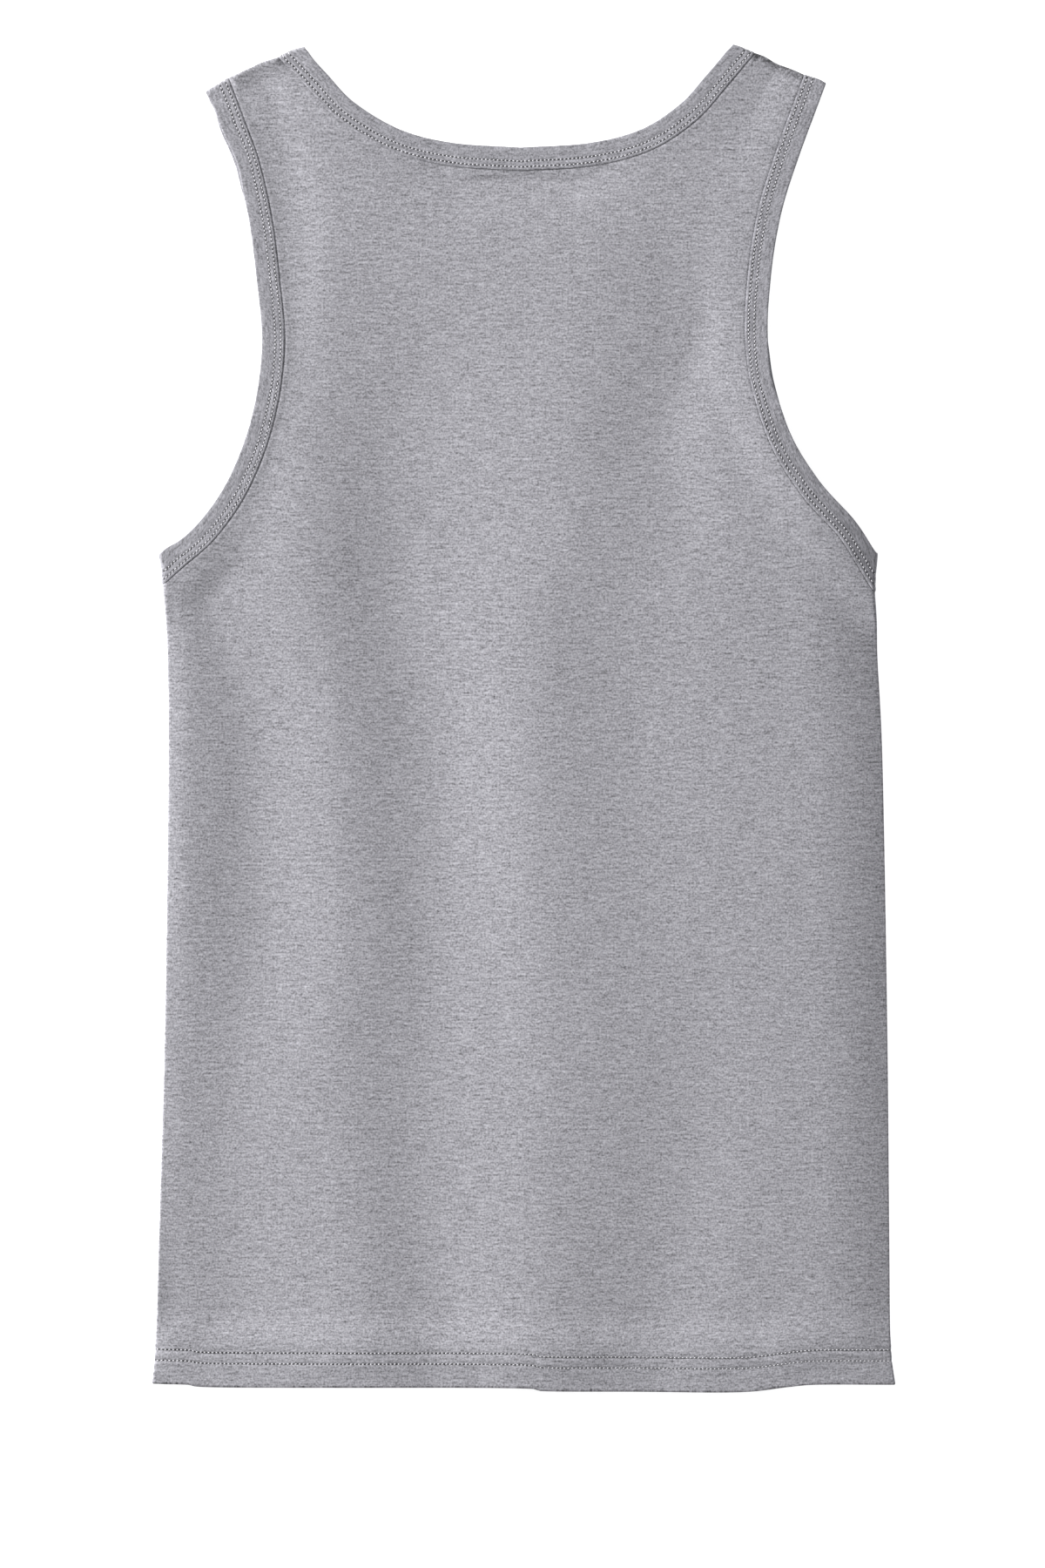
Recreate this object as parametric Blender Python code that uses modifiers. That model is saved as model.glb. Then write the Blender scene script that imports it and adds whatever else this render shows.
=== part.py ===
"""A grey jersey tank top, laid out flat on a table with its back up.

Blender 4.5, in metres, +Z up. The table is z = 0, +Y points to the shoulders and +X to the
viewer's right; the origin is under the middle of the garment. Five sewn pieces are modelled:
the back, the front that lies under it, one binding round the neck and one round each armhole.

Every piece starts as the middle of its cloth: a flat layout in X and Y, then place() lifts it to
its height and rolls it over at the side seams and shoulder seams, where back meets front.
"""

import math
from collections import namedtuple

import bmesh
import bpy
import numpy as np

MM = 0.001

# Cloth
CLOTH = 0.0010  # wall of one layer
GAP = 0.0003  # clearance between two pieces
PLY = CLOTH + GAP  # from the middle of one layer to the middle of the next
BINDING = 0.0127  # finished width of the bindings
BINDING_FOLD = PLY + CLOTH / 2  # from a binding's outer edge to the middle of its fold
RAW_EDGE = BINDING_FOLD + 0.0008  # where the panel stops inside its binding
PAST_END = 0.030  # how far a line is carried on to find where it crosses a fold
HEM_TURN = 0.021  # height of the hem that is turned up inside

# Heights of the middle of each layer, counted up from the front, which lies on the table
FRONT_ON_TABLE = CLOTH / 2
FRONT_IN_BINDING = FRONT_ON_TABLE + PLY
BACK_ON_FRONT = FRONT_ON_TABLE + PLY
BACK_ON_HEM = FRONT_ON_TABLE + 3 * PLY
BACK_IN_BINDING = FRONT_ON_TABLE + 4 * PLY
NECK_HANGS = 0.0042  # the back's neckline, which hangs between the straps
SEAM = 0.0003  # the edges of front and back stop this far from the middle of their seam
BINDING_REACH = 0.024  # how far the lift of a binding spreads into the panel
HEM_REACH = 0.018  # how far the lift of the turned-up hem spreads above it
HEM_LEVEL = 0.004  # the cloth stays level this far above the turned-up hem
NECK_REACH = 0.045  # how far the back is held up around the front's neck binding
SHOULDER_RISE = 0.0008  # the straps slope down this much towards the shoulder seam
SHOULDER_SLOPE = 0.028  # over this length
ARMPIT_RISE = 0.0026  # the back stands up this much more beside the right armhole
ARMPIT_SLOPE = 0.040  # over this length
ARMPIT_TOP = 0.14  # up to this Y, from where it fades over ARMPIT_FADE
ARMPIT_FADE = 0.12

# The side folds, and the slopes of the back beside them
SIDE_FOLDS = {"left": 0.0018, "right": 0.0010}  # radius of the turn at each side fold
SIDE_BLEND = 0.2  # width of the middle over which one radius changes to the other
TIGHT_FOLD = 1.5 * PLY  # radius where the fold carries a binding or a hem
SIDE_SLOPES = {"left": 0.011, "right": 0.036}  # how far in the back curves down to its sides
SLACK_AT_HEM, SLACK_AT_EDGE = 0.60, 0.25  # what is left of the folds' height on the hem

COLLECTION = "tank_top"
GREY = (0.37, 0.365, 0.395, 1.0)
BINDING_GREY = (0.34, 0.335, 0.365, 1.0)

# Side folds, from the hem corner up to the armhole corner, as the middle of the cloth
Side = namedtuple("Side", "y left right")
SIDES = [
    Side(-0.3720, -0.2060, 0.2060),
    Side(-0.3470, -0.2039, 0.2031),
    Side(-0.2890, -0.2021, 0.2024),
    Side(-0.1720, -0.1987, 0.2013),
    Side(-0.0270, -0.1968, 0.1987),
    Side(0.0320, -0.1972, 0.1959),
    Side(0.0720, -0.1989, 0.1945),
    Side(0.0900, -0.1996, 0.1948),
    Side(0.1000, -0.2000, 0.1950),
]

# Outer edge of the armhole bindings on the back, from the armhole corner to the shoulder
Armhole = namedtuple("Armhole", "left_x left_y right_x right_y")
ARMHOLES = [
    Armhole(-0.1996, 0.0915, 0.1949, 0.0935),
    Armhole(-0.1808, 0.1084, 0.1838, 0.1098),
    Armhole(-0.1643, 0.1326, 0.1634, 0.1326),
    Armhole(-0.1515, 0.1665, 0.1463, 0.1626),
    Armhole(-0.1457, 0.2052, 0.1364, 0.2052),
    Armhole(-0.1484, 0.2420, 0.1372, 0.2420),
    Armhole(-0.1531, 0.2780, 0.1427, 0.2780),
    Armhole(-0.1612, 0.3100, 0.1524, 0.3100),
    Armhole(-0.1748, 0.3475, 0.1670, 0.3496),
]

# Upper edge of the neck binding, from the middle of each neckline to the shoulder
Neck = namedtuple("Neck", "left_x left_y right_x right_y")
BACK_NECK = [
    Neck(-0.0020, 0.3165, -0.0020, 0.3165),
    Neck(-0.0399, 0.3192, 0.0356, 0.3190),
    Neck(-0.0690, 0.3266, 0.0642, 0.3262),
    Neck(-0.0940, 0.3414, 0.0860, 0.3400),
    Neck(-0.1094, 0.3574, 0.1012, 0.3566),
    Neck(-0.1229, 0.3723, 0.1153, 0.3734),
]
FRONT_NECK = [
    Neck(-0.0020, 0.2340, -0.0020, 0.2340),
    Neck(-0.0440, 0.2400, 0.0390, 0.2400),
    Neck(-0.0780, 0.2640, 0.0710, 0.2640),
    Neck(-0.1010, 0.3080, 0.0940, 0.3080),
    Neck(-0.1132, 0.3480, 0.1060, 0.3490),
    Neck(-0.1229, 0.3723, 0.1153, 0.3734),
]
SHOULDER_BOW = {"left": 0.0018, "right": 0.0002}  # how far the shoulder folds bulge upwards

# How much deeper than the back the front armholes are cut, along the armhole from the side seam
FrontCut = namedtuple("FrontCut", "share left right")
FRONT_CUT = [
    FrontCut(0.00, 0.0, 0.0),
    FrontCut(0.10, 0.0, 0.0),
    FrontCut(0.27, 0.0040, 0.0030),
    FrontCut(0.46, 0.0050, -0.0010),
    FrontCut(0.62, 0.0040, 0.0030),
    FrontCut(0.84, -0.0012, 0.0020),
    FrontCut(1.00, 0.0, 0.0),
]

# The lower edge of the hem, from left to right
Hem = namedtuple("Hem", "x y")
HEM = [
    Hem(-0.2064, -0.3702),
    Hem(-0.1860, -0.3707),
    Hem(-0.1640, -0.3722),
    Hem(-0.0100, -0.3724),
    Hem(0.0120, -0.3741),
    Hem(0.0600, -0.3744),
    Hem(0.1190, -0.3747),
    Hem(0.1460, -0.3719),
    Hem(0.1640, -0.3705),
    Hem(0.2064, -0.3707),
]
FRONT_HEM_RISE = 0.0010  # the front hem stays hidden behind the back's

# The long soft folds of the back: where its crests and valleys cross each level of Y, and how
# high the middle of the cloth stands there, in millimetres
At = namedtuple("At", "x height")
Level = namedtuple("Level", [
    "y", "left_edge_crest", "left_valley", "left_crest", "middle_valley", "middle_crest",
    "right_valley", "right_crest",
])
FOLDS = [
    Level(300, At(-192, 5.6), At(-146, 5.5), At(-108, 8.0), At(-64, 7.5),
          At(32, 7.1), At(92, 6.9), At(118, 7.1)),
    Level(254, At(-192, 5.6), At(-144, 5.6), At(-108, 8.3), At(-62, 7.7),
          At(36, 8.5), At(96, 6.9), At(116, 7.5)),
    Level(205, At(-191, 5.5), At(-150, 5.6), At(-112, 7.7), At(-60, 6.3),
          At(40, 8.6), At(94, 6.6), At(114, 8.0)),
    Level(157, At(-191, 5.5), At(-158, 5.8), At(-122, 7.4), At(-68, 5.0),
          At(26, 8.7), At(78, 6.6), At(110, 8.6)),
    Level(108, At(-191, 5.4), At(-174, 5.4), At(-122, 7.9), At(-64, 4.3),
          At(28, 8.6), At(82, 7.4), At(122, 9.1)),
    Level(60, At(-192, 5.0), At(-172, 3.7), At(-118, 6.3), At(-70, 3.2),
          At(12, 8.3), At(60, 7.0), At(122, 8.1)),
    Level(0, At(-190, 5.2), At(-151, 2.7), At(-106, 5.3), At(-54, 2.1),
          At(9, 7.5), At(62, 5.8), At(118, 6.8)),
    Level(-85, At(-191, 5.3), At(-148, 2.3), At(-100, 5.3), At(-52, 2.5),
          At(13, 7.5), At(74, 6.2), At(138, 6.9)),
    Level(-134, At(-192, 4.8), At(-149, 2.5), At(-96, 5.6), At(-52, 3.2),
          At(18, 7.6), At(80, 6.3), At(142, 6.9)),
    Level(-182, At(-193, 4.4), At(-159, 3.0), At(-106, 5.6), At(-54, 3.5),
          At(20, 7.6), At(98, 5.8), At(138, 6.6)),
    Level(-255, At(-193, 4.2), At(-166, 3.4), At(-96, 5.8), At(-56, 3.9),
          At(13, 7.6), At(90, 5.2), At(132, 6.4)),
    Level(-372, At(-200, 2.8), At(-166, 1.9), At(-84, 6.2), At(-48, 4.6),
          At(7, 9.0), At(72, 5.4), At(106, 6.3)),
]

# How finely each panel is divided: columns from its middle to its side, and rows
Mesh = namedtuple("Mesh", "columns body_rows armhole_rows strap_rows")
MESH = {"back": Mesh(9, 12, 9, 8), "front": Mesh(4, 12, 8, 9)}
ROLL_DEPTHS = [1 - math.cos(math.radians(a)) for a in (0, 30, 60, 90)]  # of a fold's radius
TURN_STEPS = (60, 120, 180)  # degrees round the fold of the hem
BINDING_STEPS = (90, 30, -30, -90)  # degrees round the fold of a binding

CHEST_Y = 0.030  # where the rows from the armhole corners meet in the middle
CHEST_TURN = (0.01, 0.03, 0.05)  # how the rows of the corners' turns rise in the middle
NEAR_CORNER = 6  # rows over which the columns change from the side fold's spacing
WIDE_COLUMNS = 0.018  # how far the outer columns reach from the armhole bindings
SIGN = {"left": -1, "right": 1}
SIDE_NAMES = ("left", "right")


# Lines in the flat layout


def smooth_line(points, per_span=24):
    """A smooth line through these points, as closely spaced points of its own."""
    p = np.array(points, float)
    ends = np.vstack([2 * p[0] - p[1], p, 2 * p[-1] - p[-2]])
    t = np.linspace(0, 1, per_span, endpoint=False)[:, None]
    spans = []
    for a, b, c, d in zip(ends, ends[1:], ends[2:], ends[3:]):
        curve = 2 * b + (c - a) * t + (2 * a - 5 * b + 4 * c - d) * t**2
        spans.append((curve + (3 * b - a - 3 * c + d) * t**3) / 2)
    return np.vstack([*spans, p[-1:]])


def along(line, shares):
    """The points at these shares of a line's length."""
    steps = np.linalg.norm(np.diff(line, axis=0), axis=1)
    length = np.concatenate([[0], np.cumsum(steps)])
    at = np.asarray(shares) * length[-1]
    return np.stack([np.interp(at, length, line[:, i]) for i in range(line.shape[1])], axis=-1)


def carried_on(line):
    """The line, carried on straight past its last point."""
    way = line[-1] - line[-2]
    steps = np.linspace(0, PAST_END, 21)[1:, None]
    return np.vstack([line, line[-1] + steps * way / np.linalg.norm(way)])


def extended(line):
    """The line, carried on straight past both ends."""
    return carried_on(carried_on(line)[::-1])[::-1]


def moved_right(line, by):
    """The line, moved to its own right-hand side."""
    way = np.gradient(line, axis=0)
    way /= np.linalg.norm(way, axis=1)[:, None]
    by = np.broadcast_to(by, len(line))[:, None]
    return line + by * np.column_stack([way[:, 1], -way[:, 0]])


def cut_at(line, inside):
    """The line up to the first place where inside(points) falls to zero."""
    depth = inside(line)
    last = np.flatnonzero(depth <= 0)[0]
    share = depth[last - 1] / (depth[last - 1] - depth[last])
    return np.vstack([line[:last], line[last - 1] + share * (line[last] - line[last - 1])])


def smoothstep(x):
    x = np.clip(x, 0, 1)
    return x * x * (3 - 2 * x)


SIDE_LINES = {s: smooth_line([(getattr(row, s), row.y) for row in SIDES]) for s in SIDE_NAMES}
HEM_LINE = smooth_line(HEM)


def table_line(table, side):
    return smooth_line([(getattr(row, side + "_x"), getattr(row, side + "_y")) for row in table])


def shoulder_line(side):
    """The fold at the top of a strap, from its outer corner to its neck corner."""
    outer, inner = table_line(ARMHOLES, side)[-1], table_line(BACK_NECK, side)[-1]
    t = np.linspace(0, 1, 25)[:, None]
    return outer + (inner - outer) * t + 4 * t * (1 - t) * [0, SHOULDER_BOW[side]]


SHOULDER_LINES = {s: shoulder_line(s) for s in SIDE_NAMES}


def side_x(side, y):
    line = SIDE_LINES[side]
    return np.interp(y, line[:, 1], line[:, 0])


def from_side(side, xy):
    """How far inside the side fold these points lie."""
    return SIGN[side] * (side_x(side, xy[:, 1]) - xy[:, 0])


def from_shoulder(side, xy):
    """How far below the shoulder fold these points lie, and the way to it."""
    line = extended(SHOULDER_LINES[side])
    line = line[np.argsort(line[:, 0])]
    slope = np.gradient(line[:, 1], line[:, 0])
    below = np.interp(xy[:, 0], line[:, 0], line[:, 1]) - xy[:, 1]
    slope = np.interp(xy[:, 0], line[:, 0], slope)
    size = np.sqrt(1 + slope**2)
    way = np.column_stack([-slope, np.ones(len(xy)), np.zeros(len(xy))])
    return below / size, way / size[:, None]


def armhole_edge(side, panel):
    edge = table_line(ARMHOLES, side)
    if panel == "back":
        return edge
    cut = smooth_line([(row.share, getattr(row, side)) for row in FRONT_CUT])
    share = np.linspace(0, 1, len(edge))
    return moved_right(edge, -SIGN[side] * np.interp(share, cut[:, 0], cut[:, 1]))


def neck_edge(side, panel):
    return table_line(BACK_NECK if panel == "back" else FRONT_NECK, side)


def armhole_line(side, panel, inset):
    """A line this far inside the armhole's edge, from the side fold to the shoulder fold."""
    line = moved_right(armhole_edge(side, panel), -SIGN[side] * inset)
    line = cut_at(carried_on(line), lambda xy: from_shoulder(side, xy)[0])
    return cut_at(carried_on(line[::-1]), lambda xy: from_side(side, xy))[::-1]


def neck_line(side, panel, inset):
    """A line this far below the neck's edge, from the middle to the shoulder fold."""
    edge = neck_edge(side, panel)
    line = moved_right(edge, SIGN[side] * inset)
    line[0] = edge[0] - [0, inset]
    return cut_at(carried_on(line), lambda xy: from_shoulder(side, xy)[0])


def turn_shares(line, depth):
    """Where a line that starts at a fold reaches each step of the turn there. All the steps lie
    within the line's first fifth."""
    t = np.linspace(0, 0.2, 200)
    return np.interp(ROLL_DEPTHS, depth(along(line, t)) / TIGHT_FOLD, t)


def armhole_stations(side, panel, inset):
    """Points along an armhole line, closer together where it turns over at its ends."""
    mesh = MESH[panel]
    line = armhole_line(side, panel, inset)
    first = turn_shares(line, lambda xy: from_side(side, xy))
    last = 1 - turn_shares(line[::-1], lambda xy: from_shoulder(side, xy)[0])[::-1]
    between = np.linspace(first[-1], last[0], mesh.armhole_rows + mesh.strap_rows)
    return along(line, [*first, *between[1:-1], *last])


def neck_stations(side, panel, inset):
    """Points along a neck line, closer together where it turns over at the shoulder."""
    line = neck_line(side, panel, inset)
    last = 1 - turn_shares(line[::-1], lambda xy: from_shoulder(side, xy)[0])[::-1]
    return along(line, [*np.linspace(0, last[0], MESH[panel].strap_rows)[:-1], *last])


# From the flat layout to the cloth's place in space


def band_distance(xy, edges):
    """How far outside the bindings that have these edges the points lie."""
    line = np.vstack([along(extended(edge), np.linspace(0, 1, 300)) for edge in edges])
    nearest = np.full(len(xy), np.inf)
    for start in range(0, len(line), 60):
        part = line[start : start + 60]
        far = np.linalg.norm(xy[:, None] - part[None], axis=2).min(axis=1)
        nearest = np.minimum(nearest, far)
    return np.maximum(nearest - BINDING, 0)


EDGES = {
    (kind, panel): [edge(side, panel) for side in SIDE_NAMES]
    for kind, edge in (("armhole", armhole_edge), ("neck", neck_edge))
    for panel in ("back", "front")
}


def falling(distance, reach):
    """1 at distance 0, falling smoothly to 0 at reach."""
    return 1 - smoothstep(distance / reach)


def shoulder_distance(xy):
    return np.minimum(*(from_shoulder(side, xy)[0] for side in SIDE_NAMES))


def fold_lines():
    """Each crest and valley as a smooth line: its Y, X and height, from bottom to top."""
    for number in range(1, len(Level._fields)):
        spots = [(level.y, level[number].x, level[number].height) for level in FOLDS]
        yield smooth_line(spots)[::-1].T * MM


FOLD_LINES = list(fold_lines())


def side_fold(xy):
    """The radius of the plain side fold on the side where the points lie."""
    across = smoothstep(0.5 + xy[:, 0] / SIDE_BLEND)
    return SIDE_FOLDS["left"] + (SIDE_FOLDS["right"] - SIDE_FOLDS["left"]) * across


def fold_height(xy):
    """The back between its side folds, rising and falling from crest to valley across it."""
    at = [
        (np.interp(xy[:, 1], y, x), np.interp(xy[:, 1], y, height)) for y, x, height in FOLD_LINES
    ]
    height = at[0][1]
    for (x0, h0), (x1, h1) in zip(at, at[1:]):
        height = height + (h1 - h0) * smoothstep((xy[:, 0] - x0) / (x1 - x0))
    return height


def above_hem(xy):
    """How far above the lower edge of the hem the points lie."""
    return xy[:, 1] - np.interp(xy[:, 0], HEM_LINE[:, 0], HEM_LINE[:, 1])


def on_hem(xy):
    """1 over the turned-up hem, falling to 0 above it."""
    return falling(above_hem(xy) - HEM_TURN - HEM_LEVEL, HEM_REACH)


def above(height, floor, rounding=0.4 * MM):
    """The height, kept above the floor with a rounded change between them."""
    over = height - floor
    return floor + (over + np.sqrt(over**2 + rounding**2)) / 2


def heights(xy):
    """The middle of front and back above the table, before they roll together at the folds."""
    far = {key: band_distance(xy, edges) for key, edges in EDGES.items()}
    lift = {key: falling(distance, BINDING_REACH) for key, distance in far.items()}
    below_shoulder = shoulder_distance(xy)
    on_shoulder = falling(below_shoulder, BINDING_REACH)
    bound = np.maximum(np.maximum(lift["armhole", "front"], lift["neck", "front"]), on_shoulder)
    front = FRONT_ON_TABLE + (FRONT_IN_BINDING - FRONT_ON_TABLE) * bound

    hem = on_hem(xy)
    back = above(fold_height(xy), BACK_ON_FRONT)
    slack = SLACK_AT_EDGE + (SLACK_AT_HEM - SLACK_AT_EDGE) * smoothstep(above_hem(xy) / HEM_TURN)
    back = back + (BACK_ON_HEM + slack * (back - BACK_ON_FRONT) - back) * hem
    edge = 2 * side_fold(xy) + FRONT_ON_TABLE
    edge = edge + (BACK_ON_HEM - edge) * hem
    for side in SIDE_NAMES:
        outside = np.clip(1 - from_side(side, xy) / SIDE_SLOPES[side], 0, 1)
        back = edge + (back - edge) * (1 - outside**2)

    rise = SHOULDER_RISE * (1 - falling(below_shoulder, SHOULDER_SLOPE))
    at_armpit = smoothstep(2 * xy[:, 0] / SIDE_BLEND) * falling(xy[:, 1] - ARMPIT_TOP, ARMPIT_FADE)
    rise = rise + ARMPIT_RISE * at_armpit
    rise = rise * smoothstep(from_side("left", xy) / SHOULDER_SLOPE)
    rise = rise * smoothstep(from_side("right", xy) / ARMPIT_SLOPE)
    stacked = BACK_IN_BINDING + rise
    over_front_neck = falling(far["neck", "front"], NECK_REACH)
    neck = NECK_HANGS + (stacked - NECK_HANGS) * over_front_neck
    back = back + (np.maximum(back, BACK_IN_BINDING - PLY) - back) * over_front_neck
    on_strap = np.maximum(lift["armhole", "back"], on_shoulder)
    shares = on_strap + lift["neck", "back"] + 1e-9
    bound = (stacked * on_strap + neck * lift["neck", "back"]) / shares
    back = back + (bound - back) * np.maximum(on_strap, lift["neck", "back"])
    return front, back


def turn(distance, reach):
    """How far round the turn at a fold the cloth is: 0 at the fold, 1 where it lies flat."""
    return np.sqrt(1 - np.clip(1 - distance / reach, 0, 1) ** 2)


def carried(xy):
    """1 at a fold that carries a binding, falling to 0 away from it."""
    on_armhole = falling(band_distance(xy, EDGES["armhole", "back"]), BINDING_REACH)
    return np.maximum(on_armhole, falling(shoulder_distance(xy), BINDING_REACH))


def seam_height(xy):
    """The height of the side and shoulder seams: higher where they carry hems and bindings."""
    plain = FRONT_ON_TABLE + side_fold(xy)
    plain = plain + (FRONT_ON_TABLE + TIGHT_FOLD - plain) * on_hem(xy)
    return plain + (FRONT_IN_BINDING + TIGHT_FOLD - plain) * carried(xy)


def fold_radius(xy):
    """The radius of the turn at the side folds."""
    plain = side_fold(xy)
    return plain + (TIGHT_FOLD - plain) * np.maximum(on_hem(xy), carried(xy))


def flat_height(panel, xy):
    front, back = heights(xy)
    return back if panel == "back" else front


def place(panel, xy):
    """The points of a panel's middle, and the way its outer face looks there."""
    xy = np.asarray(xy, float).reshape(-1, 2)
    up = 1 if panel == "back" else -1
    step = 0.1 * MM
    dx = (flat_height(panel, xy + [step, 0]) - flat_height(panel, xy - [step, 0])) / (2 * step)
    dy = (flat_height(panel, xy + [0, step]) - flat_height(panel, xy - [0, step])) / (2 * step)
    flat_normal = up * np.column_stack([-dx, -dy, np.ones(len(xy))])
    seam = seam_height(xy) + up * SEAM
    rise = flat_height(panel, xy) - seam

    turned, normal = np.ones(len(xy)), flat_normal
    for side in SIDE_NAMES:
        below, way_up = from_shoulder(side, xy)
        for distance, reach, way in (
            (from_side(side, xy), fold_radius(xy), [SIGN[side], 0, 0]),
            (below, TIGHT_FOLD, way_up),
        ):
            share = turn(distance, reach)
            rounded = flat_normal * (share * reach)[:, None]
            rounded = rounded + way * (np.sqrt(1 - share**2) * np.abs(rise))[:, None]
            normal = np.where((share < turned)[:, None], rounded, normal)
            turned = np.minimum(turned, share)
    points = np.column_stack([xy, seam + rise * turned])
    return points, normal / np.linalg.norm(normal, axis=1)[:, None]


# The layout of a panel: rows from the hem to the shoulder, columns from the middle to the side


def hem_y(x, panel):
    """The Y of the row where the panel starts to turn up into its hem."""
    rise = FRONT_HEM_RISE if panel == "front" else 0
    return np.interp(x, HEM_LINE[:, 0], HEM_LINE[:, 1]) + rise + (PLY + CLOTH) / 2


def half_rows(side, panel):
    """The points of half a panel: rows from hem to shoulder, columns from the middle out."""
    mesh = MESH[panel]
    arm = armhole_stations(side, panel, BINDING)
    neck = neck_stations(side, panel, BINDING)

    ends = [SIDES[0].left, SIDES[0].right]
    bottom = hem_y(ends[SIDE_NAMES.index(side)], panel)
    body = [bottom, *np.linspace(bottom + HEM_TURN, arm[0, 1], mesh.body_rows)[:-1]]
    outer = np.array([*[(side_x(side, y), y) for y in body], *arm])

    middle_x, neck_y = neck[0]
    low = hem_y(middle_x, panel)
    body = [low, *np.linspace(low + HEM_TURN, CHEST_Y, mesh.body_rows)]
    chest = [*CHEST_TURN, *np.linspace(CHEST_TURN[-1], 1, mesh.armhole_rows)[1:-1]]
    body += [CHEST_Y + (neck_y - CHEST_Y) * share for share in chest]
    inner = np.array([*[(middle_x, y) for y in body], *neck])

    rows = []
    for j, (a, b) in enumerate(zip(inner, outer)):
        length = np.linalg.norm(b - a)
        reach = fold_radius(b[None])[0]
        wide = min(WIDE_COLUMNS, length / 4)
        reach += (wide - reach) * smoothstep((j - mesh.body_rows) / NEAR_CORNER)
        roll = 1 - reach * np.array(ROLL_DEPTHS[::-1]) / length
        shares = np.concatenate([np.linspace(0, roll[0], mesh.columns + 1)[:-1], roll])
        row = a + (b - a) * shares[:, None]
        straight = low + (bottom - low) * shares
        row[:, 1] += (hem_y(row[:, 0], panel) - straight) * max(0, 1 - j / mesh.body_rows)
        rows.append(row)
    fold = SHOULDER_LINES[side][np.argsort(SHOULDER_LINES[side][:, 0])]
    bow = np.interp(rows[-1][:, 0], fold[:, 0], fold[:, 1]) - rows[-1][:, 1]
    bow[[0, -1]] = 0
    strap = rows[len(body) :]
    for j, row in enumerate(strap):
        row[:, 1] += bow * min(1, j / (len(strap) - len(ROLL_DEPTHS))) ** 3
    return np.array(rows)


def grid_faces(bm, grid):
    """Faces between neighbouring rows of vertices, split alike in layers that lie on each other."""
    for low, high in zip(grid, grid[1:]):
        for a, b, c, d in zip(low, low[1:], high[1:], high):
            if b.co.z + d.co.z > a.co.z + c.co.z + 1e-8:
                a, b, c, d = b, c, d, a
            bm.faces.new((a, b, c))
            bm.faces.new((a, c, d))


def add_panel(name, panel):
    """A panel with its hem turned up inside and its raw edges inside the bindings."""
    bm = bmesh.new()
    up = 1 if panel == "back" else -1
    verts = {}

    def vertex(point):
        key = tuple(np.round(point, 7))
        if key not in verts:
            verts[key] = bm.verts.new(point)
        return verts[key]

    def grid_of(rows):
        return [[vertex(p) for p in place(panel, row)[0]] for row in rows]

    for side in SIDE_NAMES:
        rows = half_rows(side, panel)
        grid_faces(bm, grid_of(rows))
        for stations in (armhole_stations, neck_stations):
            grid_faces(bm, grid_of([stations(side, panel, i) for i in (BINDING, RAW_EDGE)]))

        points, normals = place(panel, rows[0])
        turned = [points]
        for angle in TURN_STEPS:
            a = math.radians(angle)
            back_by = np.array([0, -math.sin(a), 0]) * PLY / 2
            turned.append(points + back_by - normals * (1 - math.cos(a)) * PLY / 2)
        top, top_normals = place(panel, rows[1])
        turned.append(top - top_normals * PLY)
        grid_faces(bm, [[vertex(p) for p in row] for row in turned])

    bmesh.ops.recalc_face_normals(bm, faces=bm.faces)
    highest = max(bm.faces, key=lambda f: up * f.calc_center_median().z)
    if highest.normal.z * up < 0:
        bmesh.ops.reverse_faces(bm, faces=bm.faces)
    return add_cloth(name, bm, GREY)


def binding_half(stations, side, panel):
    """Where a binding meets one panel: at its seam and at the middle of its fold."""
    seam, seam_normal = place(panel, stations(side, panel, BINDING))
    fold, fold_normal = place(panel, stations(side, panel, BINDING_FOLD))
    return [seam, seam_normal, fold, fold_normal]


def binding_section(seam, seam_normal, fold, fold_normal):
    """The U of a binding round the panel's raw edge: outer leg, fold and inner leg."""
    outward = (fold - seam) / (BINDING - BINDING_FOLD)
    points = [seam + PLY * seam_normal]
    for angle in BINDING_STEPS:
        a = math.radians(angle)
        points.append(fold + PLY * (math.cos(a) * outward + math.sin(a) * fold_normal))
    return points + [seam - PLY * seam_normal]


def join_at_folds(back, front, folds):
    """Back and front sections share the middle of the turn at each of these ends."""
    for end in folds:
        for b, f in zip(back, front):
            b[end] = (b[end] + f[end]) / 2
    for k in (1, 3):
        back[k][:] /= np.linalg.norm(back[k], axis=1)[:, None]


def add_binding(name, halves):
    """A closed ring of binding from halves that follow each other, each a list of sections."""
    sections = [binding_section(*s) for half in halves for s in zip(*half)]
    bm = bmesh.new()
    grid = [[bm.verts.new(p) for p in section] for section in sections]
    grid_faces(bm, [*grid, grid[0]])
    bmesh.ops.recalc_face_normals(bm, faces=bm.faces)
    return add_cloth(name, bm, BINDING_GREY)


def armhole_halves(side):
    """The back of an armhole binding from side fold to shoulder, then its front back down."""
    back, front = (binding_half(armhole_stations, side, p) for p in ("back", "front"))
    join_at_folds(back, front, (0, -1))
    return [back, [part[-2:0:-1] for part in front]]


def neck_halves():
    """The neck binding: right back, left back, left front, right front, round the neck."""
    parts = {}
    for side in SIDE_NAMES:
        back, front = (binding_half(neck_stations, side, p) for p in ("back", "front"))
        join_at_folds(back, front, (-1,))
        parts[side] = back, front
    return [
        [part[:0:-1] for part in parts["right"][0]],
        parts["left"][0],
        [part[-2:0:-1] for part in parts["left"][1]],
        [part[:-1] for part in parts["right"][1]],
    ]


# Objects and materials


def cloth_material(name, colour):
    material = bpy.data.materials.new(name)
    material.use_nodes = True
    shader = material.node_tree.nodes["Principled BSDF"]
    shader.inputs["Base Color"].default_value = colour
    shader.inputs["Roughness"].default_value = 0.95
    shader.inputs["Metallic"].default_value = 0.0
    return material


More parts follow.
